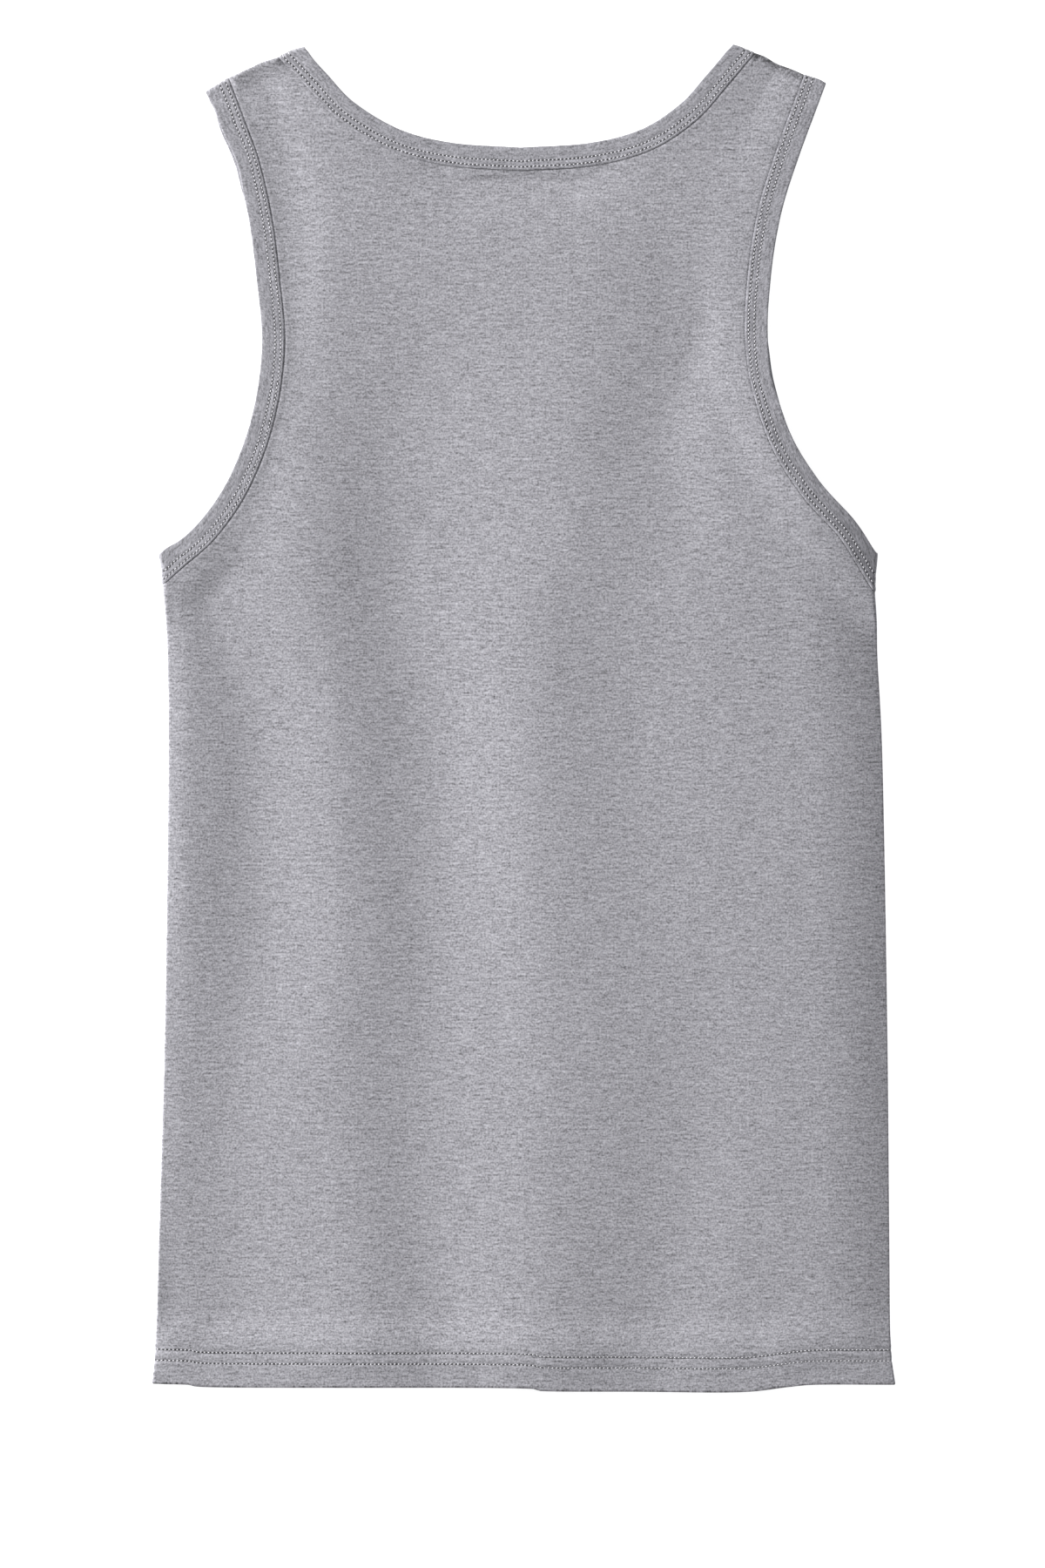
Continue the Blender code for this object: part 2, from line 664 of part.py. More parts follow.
def add_cloth(name, bm, colour):
    """An object whose surface is the middle of its cloth, thickened both ways."""
    mesh = bpy.data.meshes.new(name)
    bm.to_mesh(mesh)
    bm.free()
    mesh.shade_smooth()
    mesh.materials.append(cloth_material(name, colour))
    obj = bpy.data.objects.new(name, mesh)
    bpy.data.collections[COLLECTION].objects.link(obj)
    wall = obj.modifiers.new("wall", "SOLIDIFY")
    wall.thickness = CLOTH
    wall.offset = 0
    wall.use_even_offset = True
    wall.use_quality_normals = True
    return obj


def clear_scene():
    for obj in list(bpy.data.objects):
        bpy.data.objects.remove(obj, do_unlink=True)


def main():
    clear_scene()
    collection = bpy.data.collections.new(COLLECTION)
    bpy.context.scene.collection.children.link(collection)
    add_panel("back_panel", "back")
    add_panel("front_panel", "front")
    add_binding("neck_binding", neck_halves())
    for side in SIDE_NAMES:
        add_binding(side + "_armhole_binding", armhole_halves(side))


main()
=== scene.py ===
"""The look of a grey jersey tank top that lies flat on a table, back up.

Blender 4.5, in metres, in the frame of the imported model: +Z up, +Y to the shoulders, the table at
z = 0. Each sewn piece is made again from the part's sizes, with a finer mesh, its soft folds,
grooves along the seams and the stitches themselves.
"""

import math
from collections import namedtuple
from functools import partialmethod

import bmesh
import bpy
import numpy as np
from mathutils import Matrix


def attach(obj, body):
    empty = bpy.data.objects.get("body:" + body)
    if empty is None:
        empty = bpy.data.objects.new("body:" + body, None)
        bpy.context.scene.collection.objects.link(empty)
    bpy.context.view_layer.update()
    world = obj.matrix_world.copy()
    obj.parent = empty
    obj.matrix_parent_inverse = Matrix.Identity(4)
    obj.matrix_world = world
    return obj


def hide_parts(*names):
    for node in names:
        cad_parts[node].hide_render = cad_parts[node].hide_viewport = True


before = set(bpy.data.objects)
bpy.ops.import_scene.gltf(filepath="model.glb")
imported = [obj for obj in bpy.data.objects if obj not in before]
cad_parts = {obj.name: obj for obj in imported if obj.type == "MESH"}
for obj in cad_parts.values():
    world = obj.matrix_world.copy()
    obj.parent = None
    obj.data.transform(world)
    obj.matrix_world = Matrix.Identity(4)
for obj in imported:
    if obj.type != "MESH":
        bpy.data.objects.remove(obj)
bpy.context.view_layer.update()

MM = 0.001

# Sizes of the part, some of them fitted more closely here
PLY = 0.0013  # from one layer's middle to the next one's
BINDING = 0.0130  # width of the bindings
BINDING_FOLD = PLY + 0.00025  # from a binding's edge to the middle of its fold
RAW_EDGE = BINDING_FOLD + 0.0008  # where the panel stops inside its binding
PAST_END = 0.030  # how far a line is carried on to cross a fold
LEVEL_ROUNDING = 0.0004  # of the folds' valleys where they touch the front
HEM_TURN = 0.021  # height of the hem that is turned up inside
FRONT_ON_TABLE = 0.0005
FRONT_IN_BINDING = FRONT_ON_TABLE + PLY
BACK_ON_FRONT = FRONT_ON_TABLE + PLY
BACK_ON_HEM = FRONT_ON_TABLE + 3 * PLY
BACK_IN_BINDING = FRONT_ON_TABLE + 4 * PLY
NECK_HANGS = 0.0057  # the back's neckline, which hangs between the straps
BINDING_REACH = 0.024  # how far the lift of a binding spreads into the panel
HEM_REACH = 0.018  # how far the lift of the turned-up hem spreads above it
HEM_LEVEL = 0.004  # the cloth stays level this far above it
NECK_REACH = 0.045  # how far round the front's neck binding the back is held up
SHOULDER_RISE, SHOULDER_SLOPE = 0.0008, 0.028  # the straps' slope at the shoulder, and its length
ARMPIT_RISE, ARMPIT_SLOPE = 0.0036, 0.045  # of the back beside the right armhole, and its length
ARMPIT_TOP, ARMPIT_FADE = 0.14, 0.12  # up to this Y, and how far it fades above
SIDE_FOLDS = {"left": 0.0018, "right": 0.0010}  # radius of the turn at each side fold
SIDE_BLEND = 0.2  # width over which one side's size changes to the other's
TIGHT_FOLD = 1.5 * PLY  # radius of a turn that carries a binding or a hem
SIDE_SLOPES = {"left": 0.011, "right": 0.039}  # how far in the back curves down to its sides
HEM_SLOPES = {"left": 0.010, "right": 0.065}  # the same on the hem
SLACK_AT_HEM = 0.95  # share of the folds' height that is left at the top of the hem
SLACK_AT_EDGE = {"left": 0.35, "right": 0.60}  # and at its lower edge
HEM_RISE = {"back": 0, "front": 0.0010}  # the front hem stays hidden behind the back's
CHEST_Y = 0.030  # where the rows from the armhole corners meet in the middle
SIGN = {"left": -1, "right": 1}

# The finish
CLOTH = 0.0004  # thickness of the jersey as it shows
SEAM = 0.00005  # half the gap where front and back are joined
TURN_POWER = 5.0  # 2 for round side folds, more for squarer ones
SHELL_REACH = 0.0005  # how far the side folds stand out past their cloth's middle
NECK_TROUGH, TROUGH_AT = 0.0011, 0.0045  # the back sinks this much, this far below its neck binding
TROUGH_ABOVE, TROUGH_BELOW = 0.0042, 0.022  # how wide it is on both sides of its middle
TROUGH_MIDDLE, TROUGH_SPAN, TROUGH_FADE = -0.015, 0.020, 0.065  # X, reach to both sides, fading
RIGHT_TILT = 0.0015  # how far the right armhole binding's outer edge hangs down
TILT_TOP, TILT_FADE = 0.14, 0.06  # up to this Y, and how far it fades above
CREVICE, CREVICE_WIDTH = 0.00004, 0.0005  # depth and width of the groove at a binding's rim
NEAR_REACH = 0.004  # over which a share of the panel's lift in its bindings ends
SHOULDER_BULK, BULK_REACH = 0.0014, 0.010  # how far the seam of the left strap stands up
SOFT_FOLD, SOFT_POWER = 0.006, 2.0  # reach and shape of the right strap's rounder fold
BULK_EDGE = 0.003  # both fade out this near the bindings
STITCH = 0.0022  # from one needle hole to the next
THREAD = 0.00046  # thickness of the thread
BINDING_ROWS = (0.0078, 0.0110)  # stitch rows on the bindings, from the outer edge
HEM_ROWS = (0.0136, 0.0197)  # stitch rows on the hem, from the lower edge
HEM_LINE_DROP = (PLY + 0.0010) / 2  # from the row where the panel turns up to its edge
STATION = 0.0008  # length of the mesh cells along a binding
NEAR_CORNER = 30  # rows over which the columns change their spacing
WIDE_COLUMNS = 0.0065  # how far the fine columns reach from the armhole bindings
WIDEST_SHARE = 0.25  # but no further than this share of a row
CHEST_GRADING = 1.45  # 1 for even rows over the chest, more for finer ones at the neck

# The panel beside each binding: its lift there, the share of it that ends near the rim, and how
# high, how far off and how wide it swells beyond the groove
Rim = namedtuple("Rim", "lift near swell at width")
RIMS = {
    "left": Rim(0.00088, 0.2, 0.00012, 0.0015, 0.0020),
    "right": Rim(0.00084, 0.0, 0.00018, 0.0020, 0.0120),
    "neck": Rim(0.00087, 0.6, 0.00012, 0.0015, 0.0012),
}

# Side folds, from the hem corner up to the armhole corner
Side = namedtuple("Side", "y left right")
SIDES = [
    Side(-0.3720, -0.2060, 0.2060),
    Side(-0.3470, -0.2039, 0.2031),
    Side(-0.2890, -0.2021, 0.2024),
    Side(-0.1720, -0.1987, 0.2013),
    Side(-0.0270, -0.1968, 0.1987),
    Side(0.0320, -0.1972, 0.1959),
    Side(0.0720, -0.1989, 0.1945),
    Side(0.0900, -0.1996, 0.1948),
    Side(0.1000, -0.2000, 0.1950),
]

# Outer edge of the armhole bindings on the back, from the armhole corner to the shoulder
Armhole = namedtuple("Armhole", "left_x left_y right_x right_y")
ARMHOLES = [
    Armhole(-0.1996, 0.0915, 0.1949, 0.0935),
    Armhole(-0.1808, 0.1084, 0.1838, 0.1098),
    Armhole(-0.1643, 0.1326, 0.1634, 0.1326),
    Armhole(-0.1515, 0.1665, 0.1463, 0.1626),
    Armhole(-0.1457, 0.2052, 0.1364, 0.2052),
    Armhole(-0.1484, 0.2420, 0.1372, 0.2420),
    Armhole(-0.1531, 0.2780, 0.1427, 0.2780),
    Armhole(-0.1612, 0.3100, 0.1524, 0.3100),
    Armhole(-0.1748, 0.3475, 0.1670, 0.3496),
]

# Upper edge of the neck binding, from the middle of each neckline to the shoulder
Neck = namedtuple("Neck", "left_x left_y right_x right_y")
BACK_NECK = [
    Neck(-0.0020, 0.3165, -0.0020, 0.3165),
    Neck(-0.0399, 0.3192, 0.0356, 0.3190),
    Neck(-0.0690, 0.3266, 0.0642, 0.3262),
    Neck(-0.0940, 0.3414, 0.0860, 0.3400),
    Neck(-0.1094, 0.3574, 0.1012, 0.3566),
    Neck(-0.1229, 0.3723, 0.1153, 0.3734),
]
FRONT_NECK = [
    Neck(-0.0020, 0.2340, -0.0020, 0.2340),
    Neck(-0.0440, 0.2400, 0.0390, 0.2400),
    Neck(-0.0780, 0.2640, 0.0710, 0.2640),
    Neck(-0.1010, 0.3080, 0.0940, 0.3080),
    Neck(-0.1132, 0.3480, 0.1060, 0.3490),
    Neck(-0.1229, 0.3723, 0.1153, 0.3734),
]
SHOULDER_BOW = {"left": 0.0018, "right": 0.0002}

# How much deeper than the back the front armholes are cut, from the side seam up
FrontCut = namedtuple("FrontCut", "share left right")
FRONT_CUT = [
    FrontCut(0.00, 0.0, 0.0),
    FrontCut(0.10, 0.0, 0.0),
    FrontCut(0.27, 0.0040, 0.0030),
    FrontCut(0.46, 0.0050, -0.0010),
    FrontCut(0.62, 0.0040, 0.0030),
    FrontCut(0.84, -0.0012, 0.0020),
    FrontCut(1.00, 0.0, 0.0),
]

# The lower edge of the hem, from left to right
Hem = namedtuple("Hem", "x y")
HEM = [
    Hem(-0.2064, -0.3702),
    Hem(-0.1860, -0.3707),
    Hem(-0.1640, -0.3722),
    Hem(-0.0100, -0.3724),
    Hem(0.0120, -0.3741),
    Hem(0.0600, -0.3744),
    Hem(0.1190, -0.3747),
    Hem(0.1460, -0.3719),
    Hem(0.1640, -0.3705),
    Hem(0.2064, -0.3707),
]

# The long soft folds of the back: where its crests and valleys cross each level of Y, and how
# high the middle of the cloth stands there, in millimetres
At = namedtuple("At", "x height")
Level = namedtuple("Level", [
    "y", "left_edge_crest", "left_valley", "left_crest", "middle_valley", "middle_crest",
    "right_valley", "right_crest",
])
FOLDS = [
    Level(352, At(-192, 5.6), At(-162, 5.6), At(-116, 6.4), At(-66, 5.6),
          At(32, 5.8), At(92, 6.0), At(118, 6.2)),
    Level(300, At(-192, 5.6), At(-146, 5.5), At(-108, 8.0), At(-64, 7.5),
          At(32, 7.1), At(92, 6.9), At(118, 7.1)),
    Level(254, At(-192, 5.6), At(-144, 5.6), At(-108, 8.3), At(-62, 7.7),
          At(36, 8.5), At(96, 6.9), At(116, 7.5)),
    Level(205, At(-191, 5.5), At(-150, 5.6), At(-112, 7.7), At(-60, 6.3),
          At(40, 8.6), At(94, 6.6), At(114, 8.0)),
    Level(157, At(-191, 5.5), At(-158, 5.8), At(-122, 7.4), At(-68, 5.0),
          At(26, 8.7), At(78, 6.6), At(110, 8.6)),
    Level(108, At(-191, 5.4), At(-174, 5.4), At(-122, 7.9), At(-64, 4.3),
          At(28, 8.6), At(82, 7.4), At(122, 9.1)),
    Level(60, At(-192, 5.0), At(-172, 3.7), At(-118, 6.3), At(-70, 3.2),
          At(12, 8.3), At(60, 7.0), At(122, 8.1)),
    Level(0, At(-190, 5.2), At(-151, 2.7), At(-106, 5.3), At(-54, 2.1),
          At(9, 7.5), At(62, 5.8), At(118, 6.8)),
    Level(-85, At(-191, 5.3), At(-148, 2.3), At(-100, 5.3), At(-52, 2.5),
          At(13, 7.5), At(74, 6.2), At(138, 6.9)),
    Level(-134, At(-192, 4.8), At(-149, 2.5), At(-96, 5.6), At(-52, 3.2),
          At(18, 7.6), At(80, 6.3), At(142, 6.9)),
    Level(-182, At(-193, 4.4), At(-159, 3.0), At(-106, 5.6), At(-54, 3.5),
          At(20, 7.6), At(98, 5.8), At(138, 6.6)),
    Level(-255, At(-193, 4.2), At(-166, 3.4), At(-96, 5.8), At(-56, 3.9),
          At(13, 7.6), At(90, 5.2), At(132, 6.4)),
    Level(-372, At(-200, 2.3), At(-166, 1.8), At(-84, 6.2), At(-48, 4.6),
          At(7, 9.0), At(72, 5.4), At(106, 6.3)),
]

# How finely each panel is divided
Mesh = namedtuple("Mesh", "columns body_rows armhole_rows strap_rows")
FINE = 1.0
MESH = {"back": Mesh(56, 120, 76, 52), "front": Mesh(36, 80, 44, 48)}
MESH = {panel: Mesh(*(int(count * FINE) for count in mesh)) for panel, mesh in MESH.items()}
ROLL_DEPTHS = [1 - math.cos(math.radians(angle)) for angle in range(0, 91, 10)]
TURN_SHARE = 0.2  # the turn at a fold takes up less than this share of a line's length
LINE_POINTS, SHOULDER_POINTS, TURN_POINTS, HEM_POINTS = 21, 25, 400, 800
HEM_TURN_ROWS = 9
EDGE_POINTS, AT_ONCE = 300, 60  # points along an edge that distances are measured to, and per step
PROBE = 0.0001  # from a point to those around it that give its slope
MERGE = 0.000002  # vertices this close are one
TINY = 1e-9  # keeps a share of nothing from dividing by zero


# Arithmetic


def smoothstep(x):
    x = np.clip(x, 0, 1)
    return x * x * (3 - 2 * x)


def falling(distance, reach):
    """1 at distance 0, falling smoothly to 0 at reach."""
    return 1 - smoothstep(distance / reach)


def hump(x, at, width):
    """1 at this place, falling to 0 on both sides of it."""
    return np.exp(-(((x - at) / width) ** 2))


def mixed(first, last, share):
    """What lies at this share of the way from first to last."""
    return first + (last - first) * share


def unit(vectors):
    return vectors / np.linalg.norm(vectors, axis=-1, keepdims=True)


def y_at(line, x):
    return np.interp(x, line[:, 0], line[:, 1])


# Lines in the flat layout, as in the part


def smooth_line(points, per_span=24):
    """A smooth line through these points, as closely spaced points of its own."""
    p = np.array(points, float)
    ends = np.vstack([2 * p[0] - p[1], p, 2 * p[-1] - p[-2]])
    t = np.linspace(0, 1, per_span, endpoint=False)[:, None]
    spans = []
    for a, b, c, d in zip(ends, ends[1:], ends[2:], ends[3:]):
        curve = 2 * b + (c - a) * t + (2 * a - 5 * b + 4 * c - d) * t**2
        spans.append((curve + (3 * b - a - 3 * c + d) * t**3) / 2)
    return np.vstack([*spans, p[-1:]])


def lengths(line):
    """The distance along the line to each of its points."""
    steps = np.linalg.norm(np.diff(line, axis=0), axis=1)
    return np.concatenate([[0], np.cumsum(steps)])


def along(line, shares):
    """The points at these shares of a line's length."""
    length = lengths(line)
    at = np.asarray(shares) * length[-1]
    return np.stack([np.interp(at, length, line[:, i]) for i in range(line.shape[1])], axis=-1)


def carried_on(line):
    """The line, carried on straight past its last point."""
    way = line[-1] - line[-2]
    steps = np.linspace(0, PAST_END, LINE_POINTS)[1:, None]
    return np.vstack([line, line[-1] + steps * way / np.linalg.norm(way)])


def extended(line):
    """The line, carried on straight past both ends."""
    return carried_on(carried_on(line)[::-1])[::-1]


def moved_right(line, by):
    """The line, moved to its own right-hand side."""
    way = unit(np.gradient(line, axis=0))
    by = np.broadcast_to(by, len(line))[:, None]
    return line + by * np.column_stack([way[:, 1], -way[:, 0]])


def cut_at(line, inside):
    """The line up to the first place where inside(points) falls to zero."""
    depth = inside(line)
    last = np.flatnonzero(depth <= 0)[0]
    share = depth[last - 1] / (depth[last - 1] - depth[last])
    return np.vstack([line[:last], mixed(line[last - 1], line[last], share)])


SIDE_LINES = {
    s: smooth_line([(getattr(row, s) + SIGN[s] * SHELL_REACH, row.y) for row in SIDES])
    for s in SIGN
}
HEM_LINE = smooth_line(HEM)


def table_line(table, side):
    return smooth_line([(getattr(row, side + "_x"), getattr(row, side + "_y")) for row in table])


def shoulder_line(side):
    """The fold at the top of a strap, from its outer corner to its neck corner."""
    outer, inner = table_line(ARMHOLES, side)[-1], table_line(BACK_NECK, side)[-1]
    t = np.linspace(0, 1, SHOULDER_POINTS)[:, None]
    return mixed(outer, inner, t) + 4 * t * (1 - t) * [0, SHOULDER_BOW[side]]


SHOULDER_LINES = {s: shoulder_line(s) for s in SIGN}


def side_x(side, y):
    line = SIDE_LINES[side]
    return np.interp(y, line[:, 1], line[:, 0])


def from_side(side, xy):
    """How far inside the side fold these points lie."""
    return SIGN[side] * (side_x(side, xy[:, 1]) - xy[:, 0])


def from_shoulder(side, xy):
    """How far below the shoulder fold these points lie, and the way to it."""
    line = extended(SHOULDER_LINES[side])
    line = line[np.argsort(line[:, 0])]
    slope = np.gradient(line[:, 1], line[:, 0])
    below = y_at(line, xy[:, 0]) - xy[:, 1]
    slope = np.interp(xy[:, 0], line[:, 0], slope)
    size = np.sqrt(1 + slope**2)
    way = np.column_stack([-slope, np.ones(len(xy)), np.zeros(len(xy))])
    return below / size, way / size[:, None]


def armhole_edge(side, panel):
    edge = table_line(ARMHOLES, side)
    if panel == "back":
        return edge
    cut = smooth_line([(row.share, getattr(row, side)) for row in FRONT_CUT])
    return moved_right(edge, -SIGN[side] * y_at(cut, np.linspace(0, 1, len(edge))))


def neck_edge(side, panel):
    return table_line(BACK_NECK if panel == "back" else FRONT_NECK, side)


def armhole_line(side, panel, inset):
    """A line this far inside the armhole's edge, from the side fold to the shoulder fold."""
    line = moved_right(armhole_edge(side, panel), -SIGN[side] * inset)
    line = cut_at(carried_on(line), lambda xy: from_shoulder(side, xy)[0])
    return cut_at(carried_on(line[::-1]), lambda xy: from_side(side, xy))[::-1]


def neck_line(side, panel, inset):
    """A line this far below the neck's edge, from the middle to the shoulder fold."""
    edge = neck_edge(side, panel)
    line = moved_right(edge, SIGN[side] * inset)
    line[0] = edge[0] - [0, inset]
    return cut_at(carried_on(line), lambda xy: from_shoulder(side, xy)[0])


def turn_shares(line, depth):
    """Where a line that starts at a fold reaches each step of the turn there."""
    t = np.linspace(0, TURN_SHARE, TURN_POINTS)
    return np.interp(ROLL_DEPTHS, depth(along(line, t)) / TIGHT_FOLD, t)


def shares_at_shoulder(side, line):
    """The same where a line ends at the shoulder fold."""
    return 1 - turn_shares(line[::-1], lambda xy: from_shoulder(side, xy)[0])[::-1]


def armhole_stations(side, panel, inset, count):
    """Points along an armhole line, closer together where it turns over at its ends."""
    line = armhole_line(side, panel, inset)
    first = turn_shares(line, lambda xy: from_side(side, xy))
    last = shares_at_shoulder(side, line)
    return along(line, [*first, *np.linspace(first[-1], last[0], count)[1:-1], *last])


def neck_stations(side, panel, inset, count):
    """Points along a neck line, closer together where it turns over at the shoulder."""
    line = neck_line(side, panel, inset)
    last = shares_at_shoulder(side, line)
    return along(line, [*np.linspace(0, last[0], count)[:-1], *last])


# From the flat layout to the cloth's place in space


def band_distance(xy, edges):
    """How far outside the bindings that have these edges the points lie, negative inside them."""
    line = np.vstack([along(extended(edge), np.linspace(0, 1, EDGE_POINTS)) for edge in edges])
    nearest = np.full(len(xy), np.inf)
    for start in range(0, len(line), AT_ONCE):
        part = line[start : start + AT_ONCE]
        dx = xy[:, 0, None] - part[None, :, 0]
        dy = xy[:, 1, None] - part[None, :, 1]
        nearest = np.minimum(nearest, (dx * dx + dy * dy).min(axis=1))
    return np.sqrt(nearest) - BINDING


EDGES = {
    (kind, panel): [edge(side, panel) for side in SIGN]
    for kind, edge in (("armhole", armhole_edge), ("neck", neck_edge))
    for panel in ("back", "front")
}


def shoulder_distance(xy):
    return np.minimum(*(from_shoulder(side, xy)[0] for side in SIGN))


def fold_lines():
    """Each crest and valley as a smooth line: its Y, X and height, from bottom to top."""
    for number in range(1, len(Level._fields)):
        spots = [(level.y, level[number].x, level[number].height) for level in FOLDS]
        yield smooth_line(spots)[::-1].T * MM


FOLD_LINES = list(fold_lines())


def blended(sizes, xy):
    """The size of the side where the points lie, changing smoothly across the middle."""
    return mixed(sizes["left"], sizes["right"], smoothstep(0.5 + xy[:, 0] / SIDE_BLEND))


def on_left(xy):
    """1 on the left, falling to 0 across the middle."""
    return falling(xy[:, 0] + SIDE_BLEND / 2, SIDE_BLEND)


def fold_height(xy):
    """The back between its side folds, rising and falling from crest to valley across it."""
    at = [[np.interp(xy[:, 1], y, values) for values in more] for y, *more in FOLD_LINES]
    height = at[0][1]
    for (x0, h0), (x1, h1) in zip(at, at[1:]):
        height = height + (h1 - h0) * smoothstep((xy[:, 0] - x0) / (x1 - x0))
    return height


def above_hem(xy):
    """How far above the lower edge of the hem the points lie."""
    return xy[:, 1] - y_at(HEM_LINE, xy[:, 0])


def on_hem(xy):
    """1 over the turned-up hem, falling to 0 above it."""
    return falling(above_hem(xy) - HEM_TURN - HEM_LEVEL, HEM_REACH)


def above(height, floor):
    """The height, kept above the floor with a rounded change between them."""
    over = height - floor
    return floor + (over + np.sqrt(over**2 + LEVEL_ROUNDING**2)) / 2


def from_bindings(xy, panel):
    return np.minimum(*(band_distance(xy, EDGES[kind, panel]) for kind in ("armhole", "neck")))


def heights(xy):
    """The middle of front and back above the table, before they roll together at the folds."""
    far = {key: band_distance(xy, edges) for key, edges in EDGES.items()}
    lift = {key: falling(distance, BINDING_REACH) for key, distance in far.items()}
    below_shoulder = shoulder_distance(xy)
    on_shoulder = falling(below_shoulder, BINDING_REACH)
    bound = np.maximum(np.maximum(lift["armhole", "front"], lift["neck", "front"]), on_shoulder)
    front = mixed(FRONT_ON_TABLE, FRONT_IN_BINDING, bound)

    hem = on_hem(xy)
    back = above(fold_height(xy), BACK_ON_FRONT)
    slack = mixed(blended(SLACK_AT_EDGE, xy), SLACK_AT_HEM, smoothstep(above_hem(xy) / HEM_TURN))
    back = mixed(back, BACK_ON_HEM + slack * (back - BACK_ON_FRONT), hem)
    edge = mixed(2 * blended(SIDE_FOLDS, xy) + FRONT_ON_TABLE, BACK_ON_HEM, hem)
    for side in SIGN:
        slope = mixed(SIDE_SLOPES[side], HEM_SLOPES[side], hem)
        back = mixed(edge, back, 1 - np.clip(1 - from_side(side, xy) / slope, 0, 1) ** 2)
    rise = SHOULDER_RISE * (1 - falling(below_shoulder, SHOULDER_SLOPE))
    x, y = xy.T
    at_armpit = smoothstep(2 * x / SIDE_BLEND) * falling(y - ARMPIT_TOP, ARMPIT_FADE)
    rise = rise + ARMPIT_RISE * at_armpit
    rise = rise * smoothstep(from_side("left", xy) / SHOULDER_SLOPE)
    rise = rise * (1 - np.clip(1 - from_side("right", xy) / ARMPIT_SLOPE, 0, 1) ** 2)
    tilt = np.clip(-far["armhole", "back"] / BINDING, 0, 1) * falling(y - TILT_TOP, TILT_FADE)
    rise = rise - RIGHT_TILT * tilt * (x > 0)
    stacked = BACK_IN_BINDING + rise
    over_front_neck = falling(far["neck", "front"], NECK_REACH)
    neck = mixed(NECK_HANGS, stacked, over_front_neck)
    back = mixed(back, np.maximum(back, BACK_IN_BINDING - PLY), over_front_neck)
    on_strap = np.maximum(lift["armhole", "back"], on_shoulder)
    shares = on_strap + lift["neck", "back"] + TINY
    bound = (stacked * on_strap + neck * lift["neck", "back"]) / shares
    back = mixed(back, bound, np.maximum(on_strap, lift["neck", "back"]))
    bulk = SHOULDER_BULK * falling(below_shoulder, BULK_REACH) * on_left(xy)
    back = back + bulk * smoothstep(from_bindings(xy, "back") / BULK_EDGE)
    return front, back


def turn(distance, reach, power):
    """How far round the turn at a fold the cloth is: 0 at the fold, 1 where it lies flat."""
    return (1 - np.clip(1 - distance / reach, 0, 1) ** power) ** (1 / power)


def carried(xy):
    """1 at a fold that carries a binding, falling to 0 away from it."""
    on_armhole = falling(band_distance(xy, EDGES["armhole", "back"]), BINDING_REACH)
    return np.maximum(on_armhole, falling(shoulder_distance(xy), BINDING_REACH))


def place(panel, xy):
    """The points of a panel's middle, and the way its outer face looks there."""
    xy = np.asarray(xy, float).reshape(-1, 2)
    up = 1 if panel == "back" else -1
    moves = [[0, 0], [PROBE, 0], [-PROBE, 0], [0, PROBE], [0, -PROBE]]
    around = heights(np.vstack([xy + move for move in moves]))[panel == "back"].reshape(5, -1)
    flat, dx, dy = around[0], *((around[[1, 3]] - around[[2, 4]]) / (2 * PROBE))
    flat_normal = up * np.column_stack([-dx, -dy, np.ones(len(xy))])

    hem, held = on_hem(xy), carried(xy)
    plain = blended(SIDE_FOLDS, xy)
    seam = mixed(FRONT_ON_TABLE + plain, FRONT_ON_TABLE + TIGHT_FOLD, hem)
    seam = mixed(seam, FRONT_IN_BINDING + TIGHT_FOLD, held) + up * SEAM
    side_radius = mixed(plain, TIGHT_FOLD, np.maximum(hem, held))
    rise = flat - seam
    soft_fold = smoothstep(from_bindings(xy, "back") / BULK_EDGE)

    turned, normal = np.ones(len(xy)), flat_normal
    for side in SIGN:
        below, way_up = from_shoulder(side, xy)
        soft = soft_fold if side == "right" else 0
        soft_reach, soft_power = mixed(TIGHT_FOLD, SOFT_FOLD, soft), mixed(TURN_POWER, SOFT_POWER, soft)
        for distance, reach, power, way in (
            (from_side(side, xy), side_radius, TURN_POWER, [SIGN[side], 0, 0]),
            (below, soft_reach, soft_power, way_up),
        ):
            share = turn(distance, reach, power)
            rounded = flat_normal * (share * reach)[:, None]
            rounded = rounded + way * (np.sqrt(1 - share**2) * np.abs(rise))[:, None]
            normal = np.where((share < turned)[:, None], rounded, normal)
            turned = np.minimum(turned, share)
    points = np.column_stack([xy + pushed(xy), seam + rise * turned])
    return points, unit(normal)


# Where the straps' corners are rounded and the ends of the bindings stand out: soft pushes within
# the flat layout, in millimetres
Push = namedtuple("Push", "x y by_x by_y reach")
PUSHES = [
    Push(-175, 347, -1.5, -1.3, 8),
    Push(-167, 327, -0.9, 0.0, 9),
    Push(-160, 307, 1.2, 0.0, 12),
    Push(-136, 367, 0.4, -1.5, 8),
    Push(-122, 373, 2.2, -0.9, 6),
    Push(-198, 92, -1.8, 0.6, 6),
    Push(116, 375, 0.2, -1.1, 3),
    Push(133, 365, 0.3, 0.8, 5),
    Push(148, 360, 0.2, 0.7, 9),
    Push(164, 352, 0.6, 1.6, 8),
    Push(170, 351, -0.8, -0.6, 3),
    Push(137, 190, -1.2, 0.0, 14),
    Push(194, 72, -1.0, 0.0, 14),
]


def pushed(xy):
    by = np.zeros((len(xy), 2))
    for push in PUSHES:
        square = ((xy / MM - [push.x, push.y]) ** 2).sum(axis=1)
        by += np.array([push.by_x, push.by_y]) * MM * np.exp(-square / push.reach**2)[:, None]
    return by


# Meshes from grids of points


def grid_faces(shape, start=0, closed=False):
    """Quads between the neighbouring rows and columns of a grid of vertices."""
    index = start + np.arange(shape[0] * shape[1]).reshape(shape)
    if closed:
        index = np.hstack([index, index[:, :1]])
    corners = [index[:-1, :-1], index[:-1, 1:], index[1:, 1:], index[1:, :-1]]
    return np.stack([c.ravel() for c in corners], axis=1)


